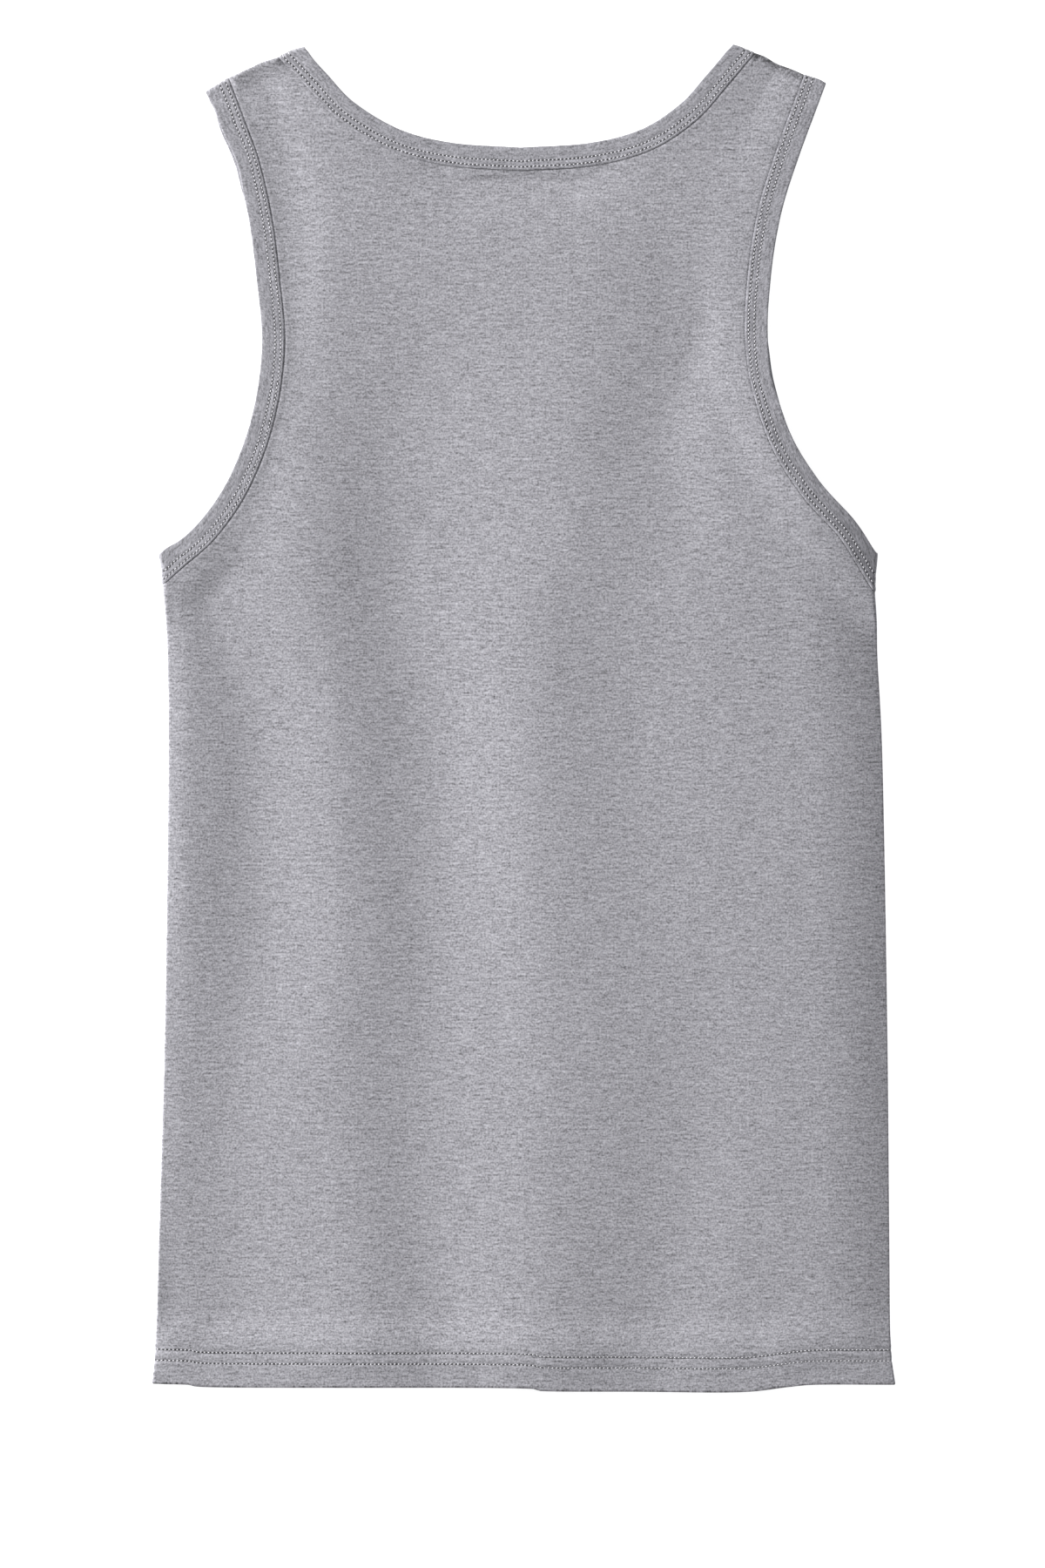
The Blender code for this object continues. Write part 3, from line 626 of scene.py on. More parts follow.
def add_object(name, data):
    obj = bpy.data.objects.new(name, data)
    bpy.context.scene.collection.objects.link(obj)
    return obj


def add_mesh(name, points, faces, cloth=None, seam=None):
    """A mesh object. cloth holds each vertex's place in the flat cloth and its distance from a
    binding's rim, and seam its place along a stitched edge and its distances from that edge and
    from the shoulder seam, all in millimetres for the materials."""
    mesh = bpy.data.meshes.new(name)
    mesh.from_pydata(points.tolist(), [], faces.tolist())
    for key, values in (("cloth", cloth), ("seam", seam)):
        if values is not None:
            layer = mesh.attributes.new(key, "FLOAT_VECTOR", "POINT")
            whole = np.zeros((len(values), 3), np.float32)
            whole[:, : values.shape[1]] = values
            layer.data.foreach_set("vector", whole.ravel())
    return add_object(name, mesh)


def close_mesh(obj):
    """Joins vertices that meet, faces the mesh outwards and shades it smooth."""
    bm = bmesh.new()
    bm.from_mesh(obj.data)
    bmesh.ops.remove_doubles(bm, verts=bm.verts, dist=MERGE)
    bmesh.ops.recalc_face_normals(bm, faces=bm.faces)
    bm.to_mesh(obj.data)
    bm.free()
    obj.data.shade_smooth()


# Panels

# Soft grooves and, where the depth is negative, ridges along the hem
HemRelief = namedtuple("HemRelief", "name height width depth")
HEM_RELIEF = [
    HemRelief("lower row", HEM_ROWS[0], 0.0006, 0.00022),
    HemRelief("ridge between the rows", 0.0170, 0.0014, -0.00016),
    HemRelief("upper row", HEM_ROWS[1] - 0.0005, 0.0006, 0.00040),
    HemRelief("swelling above the hem", 0.0223, 0.0018, -0.00022),
]


# Shallow dents in and above the hem, in millimetres: where, how wide and how deep
Dent = namedtuple("Dent", "x above_hem width height depth")
DENTS = [
    Dent(-172, 33, 9, 8, 0.5),
    Dent(-176, 7, 7, 4, 0.3),
    Dent(-138, 13, 9, 3, 0.3),
    Dent(-22, 9, 12, 4, 0.3),
    Dent(45, 14, 16, 3, 0.5),
    Dent(70, 7, 10, 3, 0.4),
    Dent(122, 12, 14, 4, 0.4),
    Dent(172, 11, 16, 5, 0.5),
    Dent(186, 30, 9, 9, -0.4),
]
DENT_FADE = 0.010  # they end this far from the side folds


def inside_folds(xy):
    """How far inside the nearer side fold the points lie."""
    return np.minimum(from_side("left", xy), from_side("right", xy))


def hem_dents(xy):
    """How deep the dents are at these points."""
    height = above_hem(xy)
    depth = 0
    for dent in DENTS:
        across = (xy[:, 0] / MM - dent.x) / dent.width
        up = (height / MM - dent.above_hem) / dent.height
        depth = depth + dent.depth * MM * np.exp(-(across**2) - up**2)
    return depth * smoothstep(inside_folds(xy) / DENT_FADE)


def hem_y(x, panel):
    """The Y of the row where the panel starts to turn up into its hem."""
    return y_at(HEM_LINE, x) + HEM_RISE[panel] + HEM_LINE_DROP


NEAR_ROW = (-1.0, -0.5, -0.25, 0, 0.25, 0.5, 1.0)  # the mesh's steps at a stitch row, in mm
EDGE_INSETS = np.linspace(BINDING, RAW_EDGE, 5)  # of the panel's rows inside a binding
HEM_ANGLES = range(20, 181, 20)  # round the turn from the panel into its hem


def hem_steps():
    """Rows over the height of the hem, closer together at its stitches."""
    steps = list(np.linspace(0, HEM_TURN, HEM_TURN_ROWS))
    for row in HEM_ROWS:
        steps += [row - HEM_LINE_DROP + by * MM for by in NEAR_ROW]
    return np.unique(np.round(steps, 6))


def half_rows(side, panel):
    """The points of half a panel: rows from hem to shoulder, columns from the middle out."""
    mesh = MESH[panel]
    count = mesh.armhole_rows + mesh.strap_rows
    arm = armhole_stations(side, panel, BINDING, count)
    neck = neck_stations(side, panel, BINDING, mesh.strap_rows)
    steps = hem_steps()

    bottom = hem_y(getattr(SIDES[0], side), panel)
    body = [*(bottom + steps), *np.linspace(bottom + HEM_TURN, arm[0, 1], mesh.body_rows)[1:-1]]
    outer = np.array([*[(side_x(side, y), y) for y in body], *arm])

    middle_x, neck_y = neck[0]
    low = hem_y(middle_x, panel)
    body_rows = len(body)
    body = [*(low + steps), *np.linspace(low + HEM_TURN, CHEST_Y, mesh.body_rows)[1:]]
    steps = np.linspace(1, 0, len(outer) - len(neck) - len(body) + 2)[1:-1]
    body += [mixed(CHEST_Y, neck_y, 1 - step**CHEST_GRADING) for step in steps]
    inner = np.array([*[(middle_x, y) for y in body], *neck])

    rows = []
    for j, (a, b) in enumerate(zip(inner, outer)):
        length = np.linalg.norm(b - a)
        wide = min(WIDE_COLUMNS, length * WIDEST_SHARE)
        reach = mixed(TIGHT_FOLD, wide, smoothstep((j - body_rows) / NEAR_CORNER))
        roll = 1 - reach * np.array(ROLL_DEPTHS[::-1]) / length
        shares = np.concatenate([np.linspace(0, roll[0], mesh.columns + 1)[:-1], roll])
        row = mixed(a, b, shares[:, None])
        bend = hem_y(row[:, 0], panel) - mixed(low, bottom, shares)
        row[:, 1] += bend * max(0, 1 - j / body_rows)
        rows.append(row)
    fold = SHOULDER_LINES[side][np.argsort(SHOULDER_LINES[side][:, 0])]
    bow = y_at(fold, rows[-1][:, 0]) - rows[-1][:, 1]
    bow[[0, -1]] = 0
    strap = rows[len(body) :]
    for j, row in enumerate(strap):
        row[:, 1] += bow * min(1, j / (len(strap) - len(ROLL_DEPTHS))) ** 3
    return np.array(rows)


def hem_groove(panel, xy):
    """How far the stitches pull the cloth of the hem in, less how far it swells beside them; the
    table keeps the front from bulging out."""
    height = above_hem(xy)
    depth = 0
    for relief in HEM_RELIEF:
        depth = depth + relief.depth * hump(height, relief.height, relief.width)
    dents = hem_dents(xy)
    return depth + (dents if panel == "back" else np.maximum(dents, 0))


def pressed(panel, xy):
    """How far the panel is pressed against the outer legs of its bindings, with the groove that
    runs along their rims."""
    left = on_left(xy)
    armholes = np.maximum(band_distance(xy, EDGES["armhole", panel]), 0)
    necks = np.maximum(band_distance(xy, EDGES["neck", panel]), 0)
    in_middle = falling(abs(xy[:, 0] - TROUGH_MIDDLE) - TROUGH_SPAN, TROUGH_FADE)
    loose = 1 - falling(xy[:, 1] - RELIEF_TOP, RELIEF_FADE)
    lift = 0
    for name, far, share, near_share, swelling in (
        ("left", armholes, left, 1, 1),
        ("right", armholes, 1 - left, 1, loose),
        ("neck", necks, 1, in_middle, 1),
    ):
        rim = RIMS[name]
        groove = hump(far, 0, CREVICE_WIDTH)
        swell = rim.swell * hump(far, rim.at, rim.width) * (1 - groove) * swelling
        near = rim.near * near_share
        press = near * falling(far, NEAR_REACH) + (1 - near) * falling(far, BINDING_REACH)
        lift = np.maximum(lift, share * (rim.lift * press + (swell - CREVICE * groove)))
    width = np.where(necks < TROUGH_AT, TROUGH_ABOVE, TROUGH_BELOW)
    return lift - NECK_TROUGH * hump(necks, TROUGH_AT, width) * in_middle


def panel_points(panel, rows):
    """Rows of the flat layout as points in space, with the panel's small relief."""
    shape = rows.shape[:2]
    xy = rows.reshape(-1, 2)
    points, normals = place(panel, xy)
    points = points + normals * (pressed(panel, xy) - hem_groove(panel, xy))[:, None]
    return points.reshape(*shape, 3), normals.reshape(*shape, 3)


def add_panel(name, panel):
    """A panel with its hem turned up inside and its raw edges inside the bindings."""
    points, faces, cloth, seam = [], [], [], []

    def add_grid(grid, flat):
        faces.append(grid_faces(grid.shape[:2], sum(map(len, points))))
        points.append(grid.reshape(-1, 3))
        flat = flat.reshape(-1, 2)
        cloth.append(np.column_stack([flat, from_bindings(flat, panel)]) / MM)
        seam.append(np.column_stack([flat[:, 0], above_hem(flat), shoulder_distance(flat)]) / MM)

    mesh = MESH[panel]
    for side in SIGN:
        rows = half_rows(side, panel)
        grid, normals = panel_points(panel, rows)
        add_grid(grid, rows)
        for stations, count in (
            (armhole_stations, mesh.armhole_rows + mesh.strap_rows),
            (neck_stations, mesh.strap_rows),
        ):
            strip = np.array([stations(side, panel, inset, count) for inset in EDGE_INSETS])
            add_grid(panel_points(panel, strip)[0], strip)

        turned = [grid[0]]
        for angle in HEM_ANGLES:
            a = math.radians(angle)
            back_by = np.array([0, -math.sin(a), 0]) * PLY / 2
            turned.append(grid[0] + back_by - normals[0] * (1 - math.cos(a)) * PLY / 2)
        lower = [rows[0]] * len(turned)
        flap = slice(1, len(hem_steps()))
        turned += list(grid[flap] - normals[flap] * PLY)
        add_grid(np.array(turned), np.array([*lower, *rows[flap]]))

    obj = add_mesh(name, *map(np.vstack, (points, faces, cloth, seam)))
    close_mesh(obj)
    up = 1 if panel == "back" else -1
    highest = max(obj.data.polygons, key=lambda f: up * f.center.z)
    if highest.normal.z * up < 0:
        obj.data.flip_normals()
    wall = obj.modifiers.new("wall", "SOLIDIFY")
    wall.thickness, wall.offset = CLOTH, 0
    wall.use_even_offset = wall.use_quality_normals = True
    return obj


# Bindings

LEG_INSETS = np.array([
    13.0, 12.92, 12.78, 12.55, 12.25, 11.9, 11.5, 11.25, 11.12, 11.0, 10.88, 10.7, 10.3, 9.6, 8.8,
    8.2, 7.98, 7.8, 7.62, 7.4, 7.0, 6.2, 5.3, 4.4, 3.4, 2.5, BINDING_FOLD / MM,
]) * MM
INNER_INSETS = np.array([13.0, 12.8, 12.1, 11.0, 9.4, 7.8, 5.5, 3.3, BINDING_FOLD / MM]) * MM
FOLD_STEP = 15  # degrees from one line of points round a binding's fold to the next
FOLD_SQUARING = 0.32  # 1 for a round fold, less for a squarer one
ROW_DEPTH, ROW_WIDTH = 0.00022, 0.00045  # of the grooves in which the stitches lie
EVEN_PULL, STITCH_PULL = 0.55, 0.45  # shares of that depth, all along and under each stitch
LENGTH_INSET = 14  # index of the inset where the stitches along a binding are counted

ARMHOLE_RELIEF = {"left": 1.0, "right": 0.3}  # the right one is pressed flatter
RELIEF_TOP, RELIEF_FADE = 0.155, 0.060  # up to this Y, from where its full relief fades

# The relief of a binding's outer leg, in millimetres from its edge and from its plain height,
# at full strength and where it is pressed flat
Relief = namedtuple("Relief", "inset full flat")
BINDING_RELIEF = [
    Relief(1.5, 0.0, 0.0),
    Relief(3.5, 0.0, 0.0),
    Relief(7.4, -0.08, -0.02),
    Relief(8.1, -0.08, -0.02),
    Relief(9.8, -0.01, 0.0),
    Relief(10.9, -0.05, 0.0),
    Relief(11.8, 0.05, 0.0),
    Relief(12.3, 0.03, -0.05),
    Relief(12.7, -0.10, -0.10),
    Relief(13.0, -0.30, -0.18),
]


def binding_relief(inset, along_seam, strength):
    """How far the outer leg of a binding stands above its plain height: it sinks a little
    towards the first row, swells beyond it and turns down at its rim."""
    at, full, flat = np.array(BINDING_RELIEF).T * MM
    full, flat = np.interp(inset, at, full), np.interp(inset, at, flat)
    relief = mixed(flat, full, strength)
    pull = EVEN_PULL + STITCH_PULL * np.cos(2 * np.pi * along_seam / STITCH)
    for row in BINDING_ROWS:
        relief = relief - ROW_DEPTH * hump(inset, row, ROW_WIDTH) * pull
    return relief


def ring(values):
    """The values, with the first again after the last."""
    return np.concatenate([values, values[:1]])


def leg(half, insets):
    """The middle of the panel and its normal at each station, for each of the insets."""
    flat = [half.stations(half.side, half.panel, inset, half.count) for inset in insets]
    return [values.reshape(len(flat), -1, 3) for values in place(half.panel, flat)]


def station_count(line):
    return int(FINE * lengths(line)[-1] / STATION)


# A stretch of a binding: how its stations are found, and which of them belong to the ring
Half = namedtuple("Half", "stations side panel count part")


def armhole_halves(side):
    """The back of an armhole binding from side fold to shoulder, then its front back down."""
    count = station_count(armhole_line(side, "back", BINDING / 2))
    return [
        Half(armhole_stations, side, "back", count, slice(None)),
        Half(armhole_stations, side, "front", count, slice(-2, 0, -1)),
    ]


def neck_halves():
    """The neck binding: right back, left back, left front, right front, round the neck."""
    back, front = (
        station_count(neck_line("left", panel, BINDING / 2)) for panel in ("back", "front")
    )
    return [
        Half(neck_stations, "right", "back", back, slice(None, 0, -1)),
        Half(neck_stations, "left", "back", back, slice(None)),
        Half(neck_stations, "left", "front", front, slice(-2, 0, -1)),
        Half(neck_stations, "right", "front", front, slice(None, -1)),
    ]


def chained(halves, insets):
    """Points and normals at these insets, station by station round the ring of a binding."""
    legs = list(zip(*(leg(half, insets) for half in halves)))
    for a, half in enumerate(halves):
        b = (a + 1) % len(halves)
        for end_a, end_b in folds_between(half, halves[b]):
            for arrays in legs:
                middle = (arrays[a][:, end_a] + arrays[b][:, end_b]) / 2
                arrays[a][:, end_a] = arrays[b][:, end_b] = middle
    points, normals = (
        np.concatenate([values[:, half.part] for values, half in zip(arrays, halves)], axis=1)
        for arrays in legs
    )
    return points, unit(normals)


def folds_between(half, other):
    """The ends at which a half and the one after it share a fold."""
    if half.panel == other.panel:
        return []
    if half.stations is armhole_stations:
        return [(0, 0), (-1, -1)] if half.panel == "back" else []
    return [(-1, -1)]


def add_binding(name, halves, strength):
    """A ring of binding folded round the panels' raw edge, as one closed form."""
    outer, outer_normal = chained(halves, LEG_INSETS)
    inner, inner_normal = chained(halves, INNER_INSETS)
    along_seam = lengths(ring(outer[LENGTH_INSET]))
    stitches = round(along_seam[-1] / STITCH)
    along_seam = along_seam[:-1] * (stitches * STITCH / along_seam[-1])

    strengths = mixed(strength, 1, falling(outer[0, :, 1] - RELIEF_TOP, RELIEF_FADE))
    relief = binding_relief(LEG_INSETS[:, None], along_seam[None], strengths[None])
    section = list(outer + (PLY + relief)[:, :, None] * outer_normal)
    across = list(LEG_INSETS)
    fold, fold_normal = outer[-1], outer_normal[-1]
    outward = fold - outer[-3]
    outward = unit(outward - fold_normal * (outward * fold_normal).sum(axis=1)[:, None])
    for angle in range(90 - FOLD_STEP, -90, -FOLD_STEP):
        a = math.radians(angle)
        out, up = math.cos(a) ** FOLD_SQUARING, math.copysign(abs(math.sin(a)) ** FOLD_SQUARING, a)
        section.append(fold + PLY * (out * outward + up * fold_normal))
        across.append(BINDING_FOLD - PLY * math.radians(90 - angle))
    section += list((inner - PLY * inner_normal)[::-1])
    across += list(across[-1] - (INNER_INSETS[::-1] - BINDING_FOLD) - PLY * math.radians(FOLD_STEP))
    section, across = np.array(section), np.array(across)

    way = np.gradient(section, axis=0)
    round_way = np.roll(section, -1, axis=1) - np.roll(section, 1, axis=1)
    facing = unit(np.cross(round_way, way))
    if (facing[LENGTH_INSET] * outer_normal[LENGTH_INSET]).sum() < 0:
        facing = -facing
    run = lengths(section[:, 0])
    end = np.minimum(run, run[-1] - run)
    half = CLOTH / 2
    wall = half * np.sqrt(1 - np.clip(1 - end / half, 0, 1) ** 2)[:, None, None]
    loop = np.concatenate([section + facing * wall, (section - facing * wall)[::-1]])
    closed = ring(loop.transpose(1, 0, 2))
    along_all = np.append(along_seam, stitches * STITCH)

    both = np.concatenate([across, across[::-1]])
    flat = np.stack(np.meshgrid(along_all, both, indexing="ij"), axis=-1).reshape(-1, 2)
    cloth = np.column_stack([flat, BINDING - flat[:, 1]])
    faces = grid_faces(closed.shape[:2], closed=True)
    obj = add_mesh(name, closed.reshape(-1, 3), faces, cloth / MM, flat / MM)
    close_mesh(obj)
    rows = []
    for row in BINDING_ROWS:
        k = int(np.argmin(abs(LEG_INSETS - row)))
        top = section[k] + facing[k] * half
        rows.append((ring(top), ring(facing[k]), along_all))
    return obj, rows


# Stitches

# A stitch from one needle hole to the next: the share of its length, and how far it stands out
# and how wide it is, in thread widths
Bend = namedtuple("Bend", "share rise width")
BENDS = [Bend(0.0, -0.75, 0.8), Bend(0.16, 0.25, 1.0), Bend(0.5, 0.42, 1.05), Bend(0.84, 0.25, 1.0),
         Bend(1.0, -0.75, 0.8)]
STITCH_START, STITCH_SPAN = 0.21, 0.58  # the part of its length that a stitch shows
THREAD_SIDES = 6
THREAD_FLAT = 1.15  # how much wider than high the thread is
LEAN, UNEVEN_RISE, UNEVEN_WIDTH = 0.06 * MM, 0.12, 0.06  # how much the stitches vary
THREAD_LOWEST = 0.00002  # how close the thread comes to the table
HEM_SPAN = 0.21  # the hem's rows are looked for this far to both sides
ROW_END = 0.0003  # how far from the side folds they end


def add_stitches(name, rows, seed):
    """Stitches that lie along rows of points on the cloth, each dipping into it at both ends.
    The table presses those below the front flat."""
    random = np.random.default_rng(seed)
    shares, rise, width = np.array(BENDS).T
    around = 2 * np.pi * np.arange(THREAD_SIDES)[:, None] / THREAD_SIDES
    points, faces = [], []
    for line, normals, at in rows:
        count = int(round(at[-1] / STITCH))
        u = STITCH * np.arange(count)[:, None] + STITCH * (STITCH_START + STITCH_SPAN * shares)
        centre, normal = (
            np.stack([np.interp(u, at, values[:, i]) for i in range(3)], axis=-1)
            for values in (line, normals)
        )
        normal = unit(normal)
        across = np.cross(normal, unit(np.gradient(centre, axis=1)))
        lean = random.normal(0, LEAN, (count, 1, 1)) * (shares - 0.5)[:, None] * 2
        tall = rise * THREAD * (1 + random.normal(0, UNEVEN_RISE, (count, 1)))
        centre = centre + normal * tall[:, :, None] + across * lean
        thick = width * THREAD / 2 * (1 + random.normal(0, UNEVEN_WIDTH, (count, 1)))
        circle = across[:, :, None] * np.cos(around) * THREAD_FLAT
        circle = circle + normal[:, :, None] * np.sin(around)
        rings = centre[:, :, None] + circle * thick[:, :, None, None]
        rings[..., 2] = np.maximum(rings[..., 2], THREAD_LOWEST)
        one = grid_faces((len(shares), THREAD_SIDES), sum(map(len, points)), closed=True)
        starts = np.arange(count) * len(shares) * THREAD_SIDES
        faces.append((starts[:, None, None] + one).reshape(-1, 4))
        points.append(rings.reshape(-1, 3))
    obj = add_mesh(name, np.vstack(points), np.vstack(faces))
    obj.data.shade_smooth()
    return obj


def hem_rows(panel):
    """The lines on a panel's outer face along which its hem is sewn."""
    rows = []
    x = np.linspace(-HEM_SPAN, HEM_SPAN, HEM_POINTS)
    for height in HEM_ROWS:
        xy = np.column_stack([x, y_at(HEM_LINE, x) + height + HEM_RISE[panel]])
        xy = xy[inside_folds(xy) > ROW_END]
        points, normals = place(panel, xy)
        points = points + normals * (CLOTH / 2 - hem_groove(panel, xy)[:, None])
        rows.append((points, normals, lengths(points)))
    return rows


# Materials

WALE, COURSE = 0.78, 0.62  # width and height of one knitted loop, in millimetres
KNIT_SHADE, HOLE_PAINTED_SHADE, DARKEST = 0.16, 0.75, 0.2  # how dark loops, the painted shade in needle holes, and all may be
HEM_EDGE_PAINTED_SHADE, SHOULDER_PAINTED_SHADES = 0.3, (0.12, 0.55)  # how dark the painted shade at the hem's edge and at the right shoulder may be
LOOP_HEIGHT, LOOP_MIDDLE, LEG_HEIGHT = 0.28, 0.4, 0.3  # of the knit's relief, all in 0 to 1
LOOP_LEAN = 1.3  # how steep the loops' legs are
WOBBLE, PER_MM = 0.7, 0.45  # how far the loops stray, in millimetres, and how often
ARMPIT_GROOVE_SHADE = 0.50  # painted shade: how much darker the groove at the right armhole's rim is than elsewhere
HIGHLIGHT_AT_RIGHT = -0.6  # the painted highlight beside the bindings' rims turns to a fainter painted shade on the right

# Spans over which the looks change, in millimetres
HOLE = (0.3, 0.75)  # from the middle of a needle hole
ROW_GROOVE = (0.1, 0.9)  # from a stitch row
RIM_SHADE_SPAN = (0.15, 0.85)  # from a binding's rim, for the painted shade in its groove
HIGHLIGHT_RISE, HIGHLIGHT_FALL = (0.2, 0.7), (1.0, 1.7)  # from a binding's rim, for its painted highlight
RIGHT_SIDE = (60, 100)  # of X
UNDER_ARM = (150, 215)  # of Y
HEM_EDGE = (HEM_LINE_DROP / MM, 1.8)  # from the hem's lower edge
SHOULDER_TURN = (0.3, 5.0)  # from the shoulder seam
STRAP_SIDE = (100, 150)  # of X

# Flecks of the heather: their size across and up in millimetres, how fine and rough their edges
# are, and their strength
Flecks = namedtuple("Flecks", "across up detail roughness strength")
FLECKS = [
    Flecks(1.05, 1.2, 1.0, 0.6, 1.7),
    Flecks(3.6, 1.1, 2.0, 0.6, 1.35),
    Flecks(13.0, 1.7, 2.0, 0.6, 0.85),
    Flecks(26.0, 15.0, 2.0, 0.5, 0.14),
]


def node(tree, kind, *inputs, named=None, **settings):
    """A shader node with these inputs, each a value or another node's output."""
    made = tree.nodes.new(kind)
    for key, value in settings.items():
        setattr(made, key, value)
    for key, value in [*enumerate(inputs), *(named or {}).items()]:
        value = getattr(value, "socket", value)
        if isinstance(value, bpy.types.NodeSocket):
            tree.links.new(value, made.inputs[key])
        else:
            made.inputs[key].default_value = value
    return made


class Value:
    """A number that a material's nodes work out at each point."""

    def __init__(self, socket):
        self.socket = socket

    def to(self, kind, *others, **settings):
        """What a node of this kind makes of this number and the others."""
        return Value(node(self.socket.id_data, kind, self, *others, **settings).outputs[0])

    def maths(self, operation, *others, **settings):
        return self.to("ShaderNodeMath", *others, operation=operation, **settings)

    __add__ = partialmethod(maths, "ADD")
    __sub__ = partialmethod(maths, "SUBTRACT")
    __mul__ = partialmethod(maths, "MULTIPLY")
    __truediv__ = partialmethod(maths, "DIVIDE")
    __abs__ = partialmethod(maths, "ABSOLUTE")

    def ramp(self, *ends_and_results):
        """A smooth change from a first to a last result while this goes from start to end."""
        return self.to("ShaderNodeMapRange", *ends_and_results, interpolation_type="SMOOTHSTEP")

    def centred(self, strength):
        """strength times how far a value from 0 to 1 is from its middle."""
        return (self - 0.5) * strength


def attribute(tree, name):
    """A point attribute of the mesh, and the three values in it."""
    vector = node(tree, "ShaderNodeAttribute", attribute_name=name).outputs["Vector"]
    return vector, *map(Value, node(tree, "ShaderNodeSeparateXYZ", vector).outputs)


def vector_maths(vector, operation, by):
    return node(vector.id_data, "ShaderNodeVectorMath", vector, by, operation=operation).outputs[0]


def noise(vector, across, up, detail=2.0, roughness=0.5):
    """Noise from 0 to 1 whose grain has this size in millimetres across and up."""
    at = vector_maths(vector, "MULTIPLY", (1 / across, 1 / up, 1))
    named = {"Vector": at, "Scale": 1.0, "Detail": detail, "Roughness": roughness}
    return Value(node(vector.id_data, "ShaderNodeTexNoise", named=named).outputs[0])


def knit(tree, cloth):
    """The height of the V-shaped loops of a plain knit, from 0 to 1."""
    at = vector_maths(cloth, "MULTIPLY", (PER_MM, PER_MM, 1))
    named = {"Vector": at, "Scale": 1.0, "Detail": 1.0}
    wobble = node(tree, "ShaderNodeTexNoise", named=named).outputs["Color"]
    shift = vector_maths(wobble, "MULTIPLY", (WOBBLE, WOBBLE, 0))
    parts = node(tree, "ShaderNodeSeparateXYZ", vector_maths(cloth, "ADD", shift)).outputs
    leaning = abs((Value(parts[0]) / WALE).maths("FRACT") - 0.5)
    phase = Value(parts[1]) / COURSE + leaning * LOOP_LEAN
    loops = (phase * (2 * math.pi)).maths("COSINE")
    legs = (leaning * (2 * math.pi)).maths("SINE")
    loops = loops * LOOP_HEIGHT + LOOP_MIDDLE
    return loops.maths("ADD", legs * LEG_HEIGHT, use_clamp=True)


def needle_holes(along_seam, from_edge, rows):
    """1 in the needle holes of these stitch rows, falling to 0 around them, and the same for
    the groove that the rows lie in."""
    pitch = STITCH / MM
    beside = ((along_seam / pitch + 0.5).maths("FRACT") - 0.5) * pitch
    for number, row in enumerate(rows):
        far = abs(from_edge - row / MM)
        square = beside.maths("POWER", 2.0) + far.maths("POWER", 2.0)
        hole, groove = square.maths("SQRT").ramp(*HOLE, 1, 0), far.ramp(*ROW_GROOVE, 1, 0)
        holes = holes.maths("MAXIMUM", hole) if number else hole
        grooves = grooves.maths("MAXIMUM", groove) if number else groove
    return holes, grooves


def new_material(name, **values):
    """A material whose shader has these values, its node tree and its shader."""
    material = bpy.data.materials.new(name)
    material.use_nodes = True
    shader = material.node_tree.nodes["Principled BSDF"]
    for key, value in values.items():
        shader.inputs[key.replace("_", " ")].default_value = value
    return material, material.node_tree, shader


def colour_and_bump(shader, colour, shade, strength, distance, height):
    """Tints the shader's colour by a shade around 1, and adds a fine bump of this height."""
    tree = shader.id_data
    named = {"Scale": shade}
    tinted = node(tree, "ShaderNodeVectorMath", colour, named=named, operation="SCALE")
    named = {"Strength": strength, "Distance": distance, "Height": height}
    bump = node(tree, "ShaderNodeBump", named=named)
    for made, name in ((tinted, "Base Color"), (bump, "Normal")):
        tree.links.new(made.outputs[0], shader.inputs[name])


def painted_turn_shade(along_seam, from_edge, below_shoulder):
    """Painted shade where a panel's cloth turns over: how much darker it is along the lower edge
    of its hem and at the right shoulder, most of all beside the armhole binding."""
    edge = from_edge.ramp(*HEM_EDGE, HEM_EDGE_PAINTED_SHADE, 0)
    shoulder = below_shoulder.ramp(*SHOULDER_TURN, 1, 0) * along_seam.ramp(*STRAP_SIDE, *SHOULDER_PAINTED_SHADES)
    return edge.maths("MAXIMUM", shoulder)


def jersey(name, colour, rows, row_painted_shade, rim_groove_shade, rim_highlight, painted_panel_shade):
    """Heather jersey: light and dark fibres along the courses over a fine knit, with painted shade
    in the needle holes along the stitch rows and in the groove where a binding ends, a painted
    highlight on the ridge beside it, and painted shade where the cloth turns over."""
    material, tree, shader = new_material(
        name, Roughness=0.92, Specular_IOR_Level=0.2, Sheen_Weight=0.12, Sheen_Roughness=0.5
    )
    cloth, x, y, from_rim = attribute(tree, "cloth")
    _, *seam = attribute(tree, "seam")
    flat = vector_maths(cloth, "MULTIPLY", (1, 1, 0))
    loops = knit(tree, flat)
    holes, grooves = needle_holes(*seam[:2], rows)
    # Painted shade in the groove along the bindings' rims, deepest beside the right armhole
    at_armpit = x.ramp(*RIGHT_SIDE, 0, 1) * y.ramp(*UNDER_ARM, 1, 0)
    groove = at_armpit * (painted_panel_shade * ARMPIT_GROOVE_SHADE) + rim_groove_shade
    # Painted highlight on the binding's ridge beside its rim, turning to painted shade on the right
    ridge = from_rim.ramp(*HIGHLIGHT_RISE, 0, 1) * from_rim.ramp(*HIGHLIGHT_FALL, rim_highlight, 0)
    shades = [noise(flat, *flecks[:4]).centred(flecks.strength) for flecks in FLECKS]
    # Painted shade in needle holes, stitch-row grooves and rim grooves, a painted highlight by the
    # rims, and painted shade where the cloth turns over
    shades += [
        loops.centred(KNIT_SHADE),
        holes * -HOLE_PAINTED_SHADE,
        grooves * -row_painted_shade,
        from_rim.ramp(*RIM_SHADE_SPAN, -1, 0) * groove,
        ridge * x.ramp(*RIGHT_SIDE, 1, HIGHLIGHT_AT_RIGHT),
        painted_turn_shade(*seam) * -painted_panel_shade,
    ]
    shade = sum(shades[1:], shades[0] + 1.0).maths("MAXIMUM", DARKEST)
    relief = loops + noise(flat, 0.5, 0.5).centred(1.2)
    colour_and_bump(shader, colour, shade, 0.4, 0.00012, relief)
    return material


